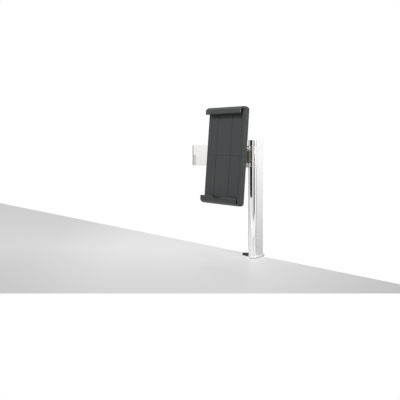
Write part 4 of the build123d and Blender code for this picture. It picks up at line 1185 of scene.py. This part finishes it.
def lay_sheet(name: str, corners: list[Vector], material: bpy.types.Material) -> None:
    """Lay a flat sheet down as part of the stage.

    Args:
        name: Name of the sheet.
        corners: Its four corners, in turn.
        material: Its material.
    """
    mesh = bpy.data.meshes.new(name)
    mesh.from_pydata([tuple(corner) for corner in corners], [], [(0, 1, 2, 3)])
    mesh.materials.append(material)
    link_object(name, mesh)


def maths(tree: bpy.types.NodeTree, operation: str, *values: object) -> bpy.types.NodeSocket:
    """Add one calculation.

    Args:
        tree: Node tree that gets the node.
        operation: Name of the calculation.
        *values: Sockets or numbers that go in.

    Returns:
        The outcome.
    """
    made = tree.nodes.new("ShaderNodeMath")
    made.operation = operation
    for socket, value in zip(made.inputs, values):
        if isinstance(value, bpy.types.NodeSocket):
            tree.links.new(value, socket)
        else:
            socket.default_value = value
    return made.outputs["Value"]


def vector_maths(tree: bpy.types.NodeTree, operation: str, vector: bpy.types.NodeSocket,
                 other: Vector | Triple | None = None) -> bpy.types.Node:
    """Add one calculation with vectors.

    Args:
        tree: Node tree that gets the node.
        operation: Name of the calculation.
        vector: Vector that goes in.
        other: Fixed second vector, where the calculation takes one.

    Returns:
        The new node.
    """
    made = tree.nodes.new("ShaderNodeVectorMath")
    made.operation = operation
    tree.links.new(vector, made.inputs[0])
    if other is not None:
        made.inputs[1].default_value = other
    return made


def ramp(tree: bpy.types.NodeTree, value: bpy.types.NodeSocket, reach: Pair,
         levels: Pair) -> bpy.types.NodeSocket:
    """Go from one level to another while a value runs through its reach.

    Args:
        tree: Node tree that gets the node.
        value: Value that is looked at.
        reach: Values between which the level changes.
        levels: Level at the first value and at the second.

    Returns:
        The level.
    """
    made = tree.nodes.new("ShaderNodeMapRange")
    numbers = {"From Min": reach[0], "From Max": reach[1], "To Min": levels[0], "To Max": levels[1]}
    for name, number in numbers.items():
        made.inputs[name].default_value = number
    tree.links.new(value, made.inputs["Value"])
    return made.outputs["Result"]


def blend(tree: bpy.types.NodeTree, share: bpy.types.NodeSocket, low: object,
          high: object) -> bpy.types.NodeSocket:
    """Mix two levels.

    Args:
        tree: Node tree that gets the nodes.
        share: Nought for the first level, one for the second.
        low: First level, a socket or a number.
        high: Second level, a socket or a number.

    Returns:
        The level.
    """
    step = maths(tree, "SUBTRACT", high, low)
    return maths(tree, "ADD", maths(tree, "MULTIPLY", step, share), low)


def looked_at(tree: bpy.types.NodeTree, path: bpy.types.Node) -> bpy.types.NodeSocket:
    """Add the factor that is one for what the camera sees, through glass too.

    Args:
        tree: Node tree that gets the node.
        path: Its Light Path node.

    Returns:
        The factor, nought for all other light.
    """
    return maths(tree, "MAXIMUM", path.outputs["Is Camera Ray"],
                 path.outputs["Is Transmission Ray"])


def main() -> None:
    """Dress every sub-assembly and set up the studio."""
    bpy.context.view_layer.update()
    for part in (Column(), Clamp(), Arm(), Head(), Holder(), Studio()):
        part.build()


if __name__ == "__main__":
    logging.basicConfig(level=logging.INFO)
    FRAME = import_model()
    main()
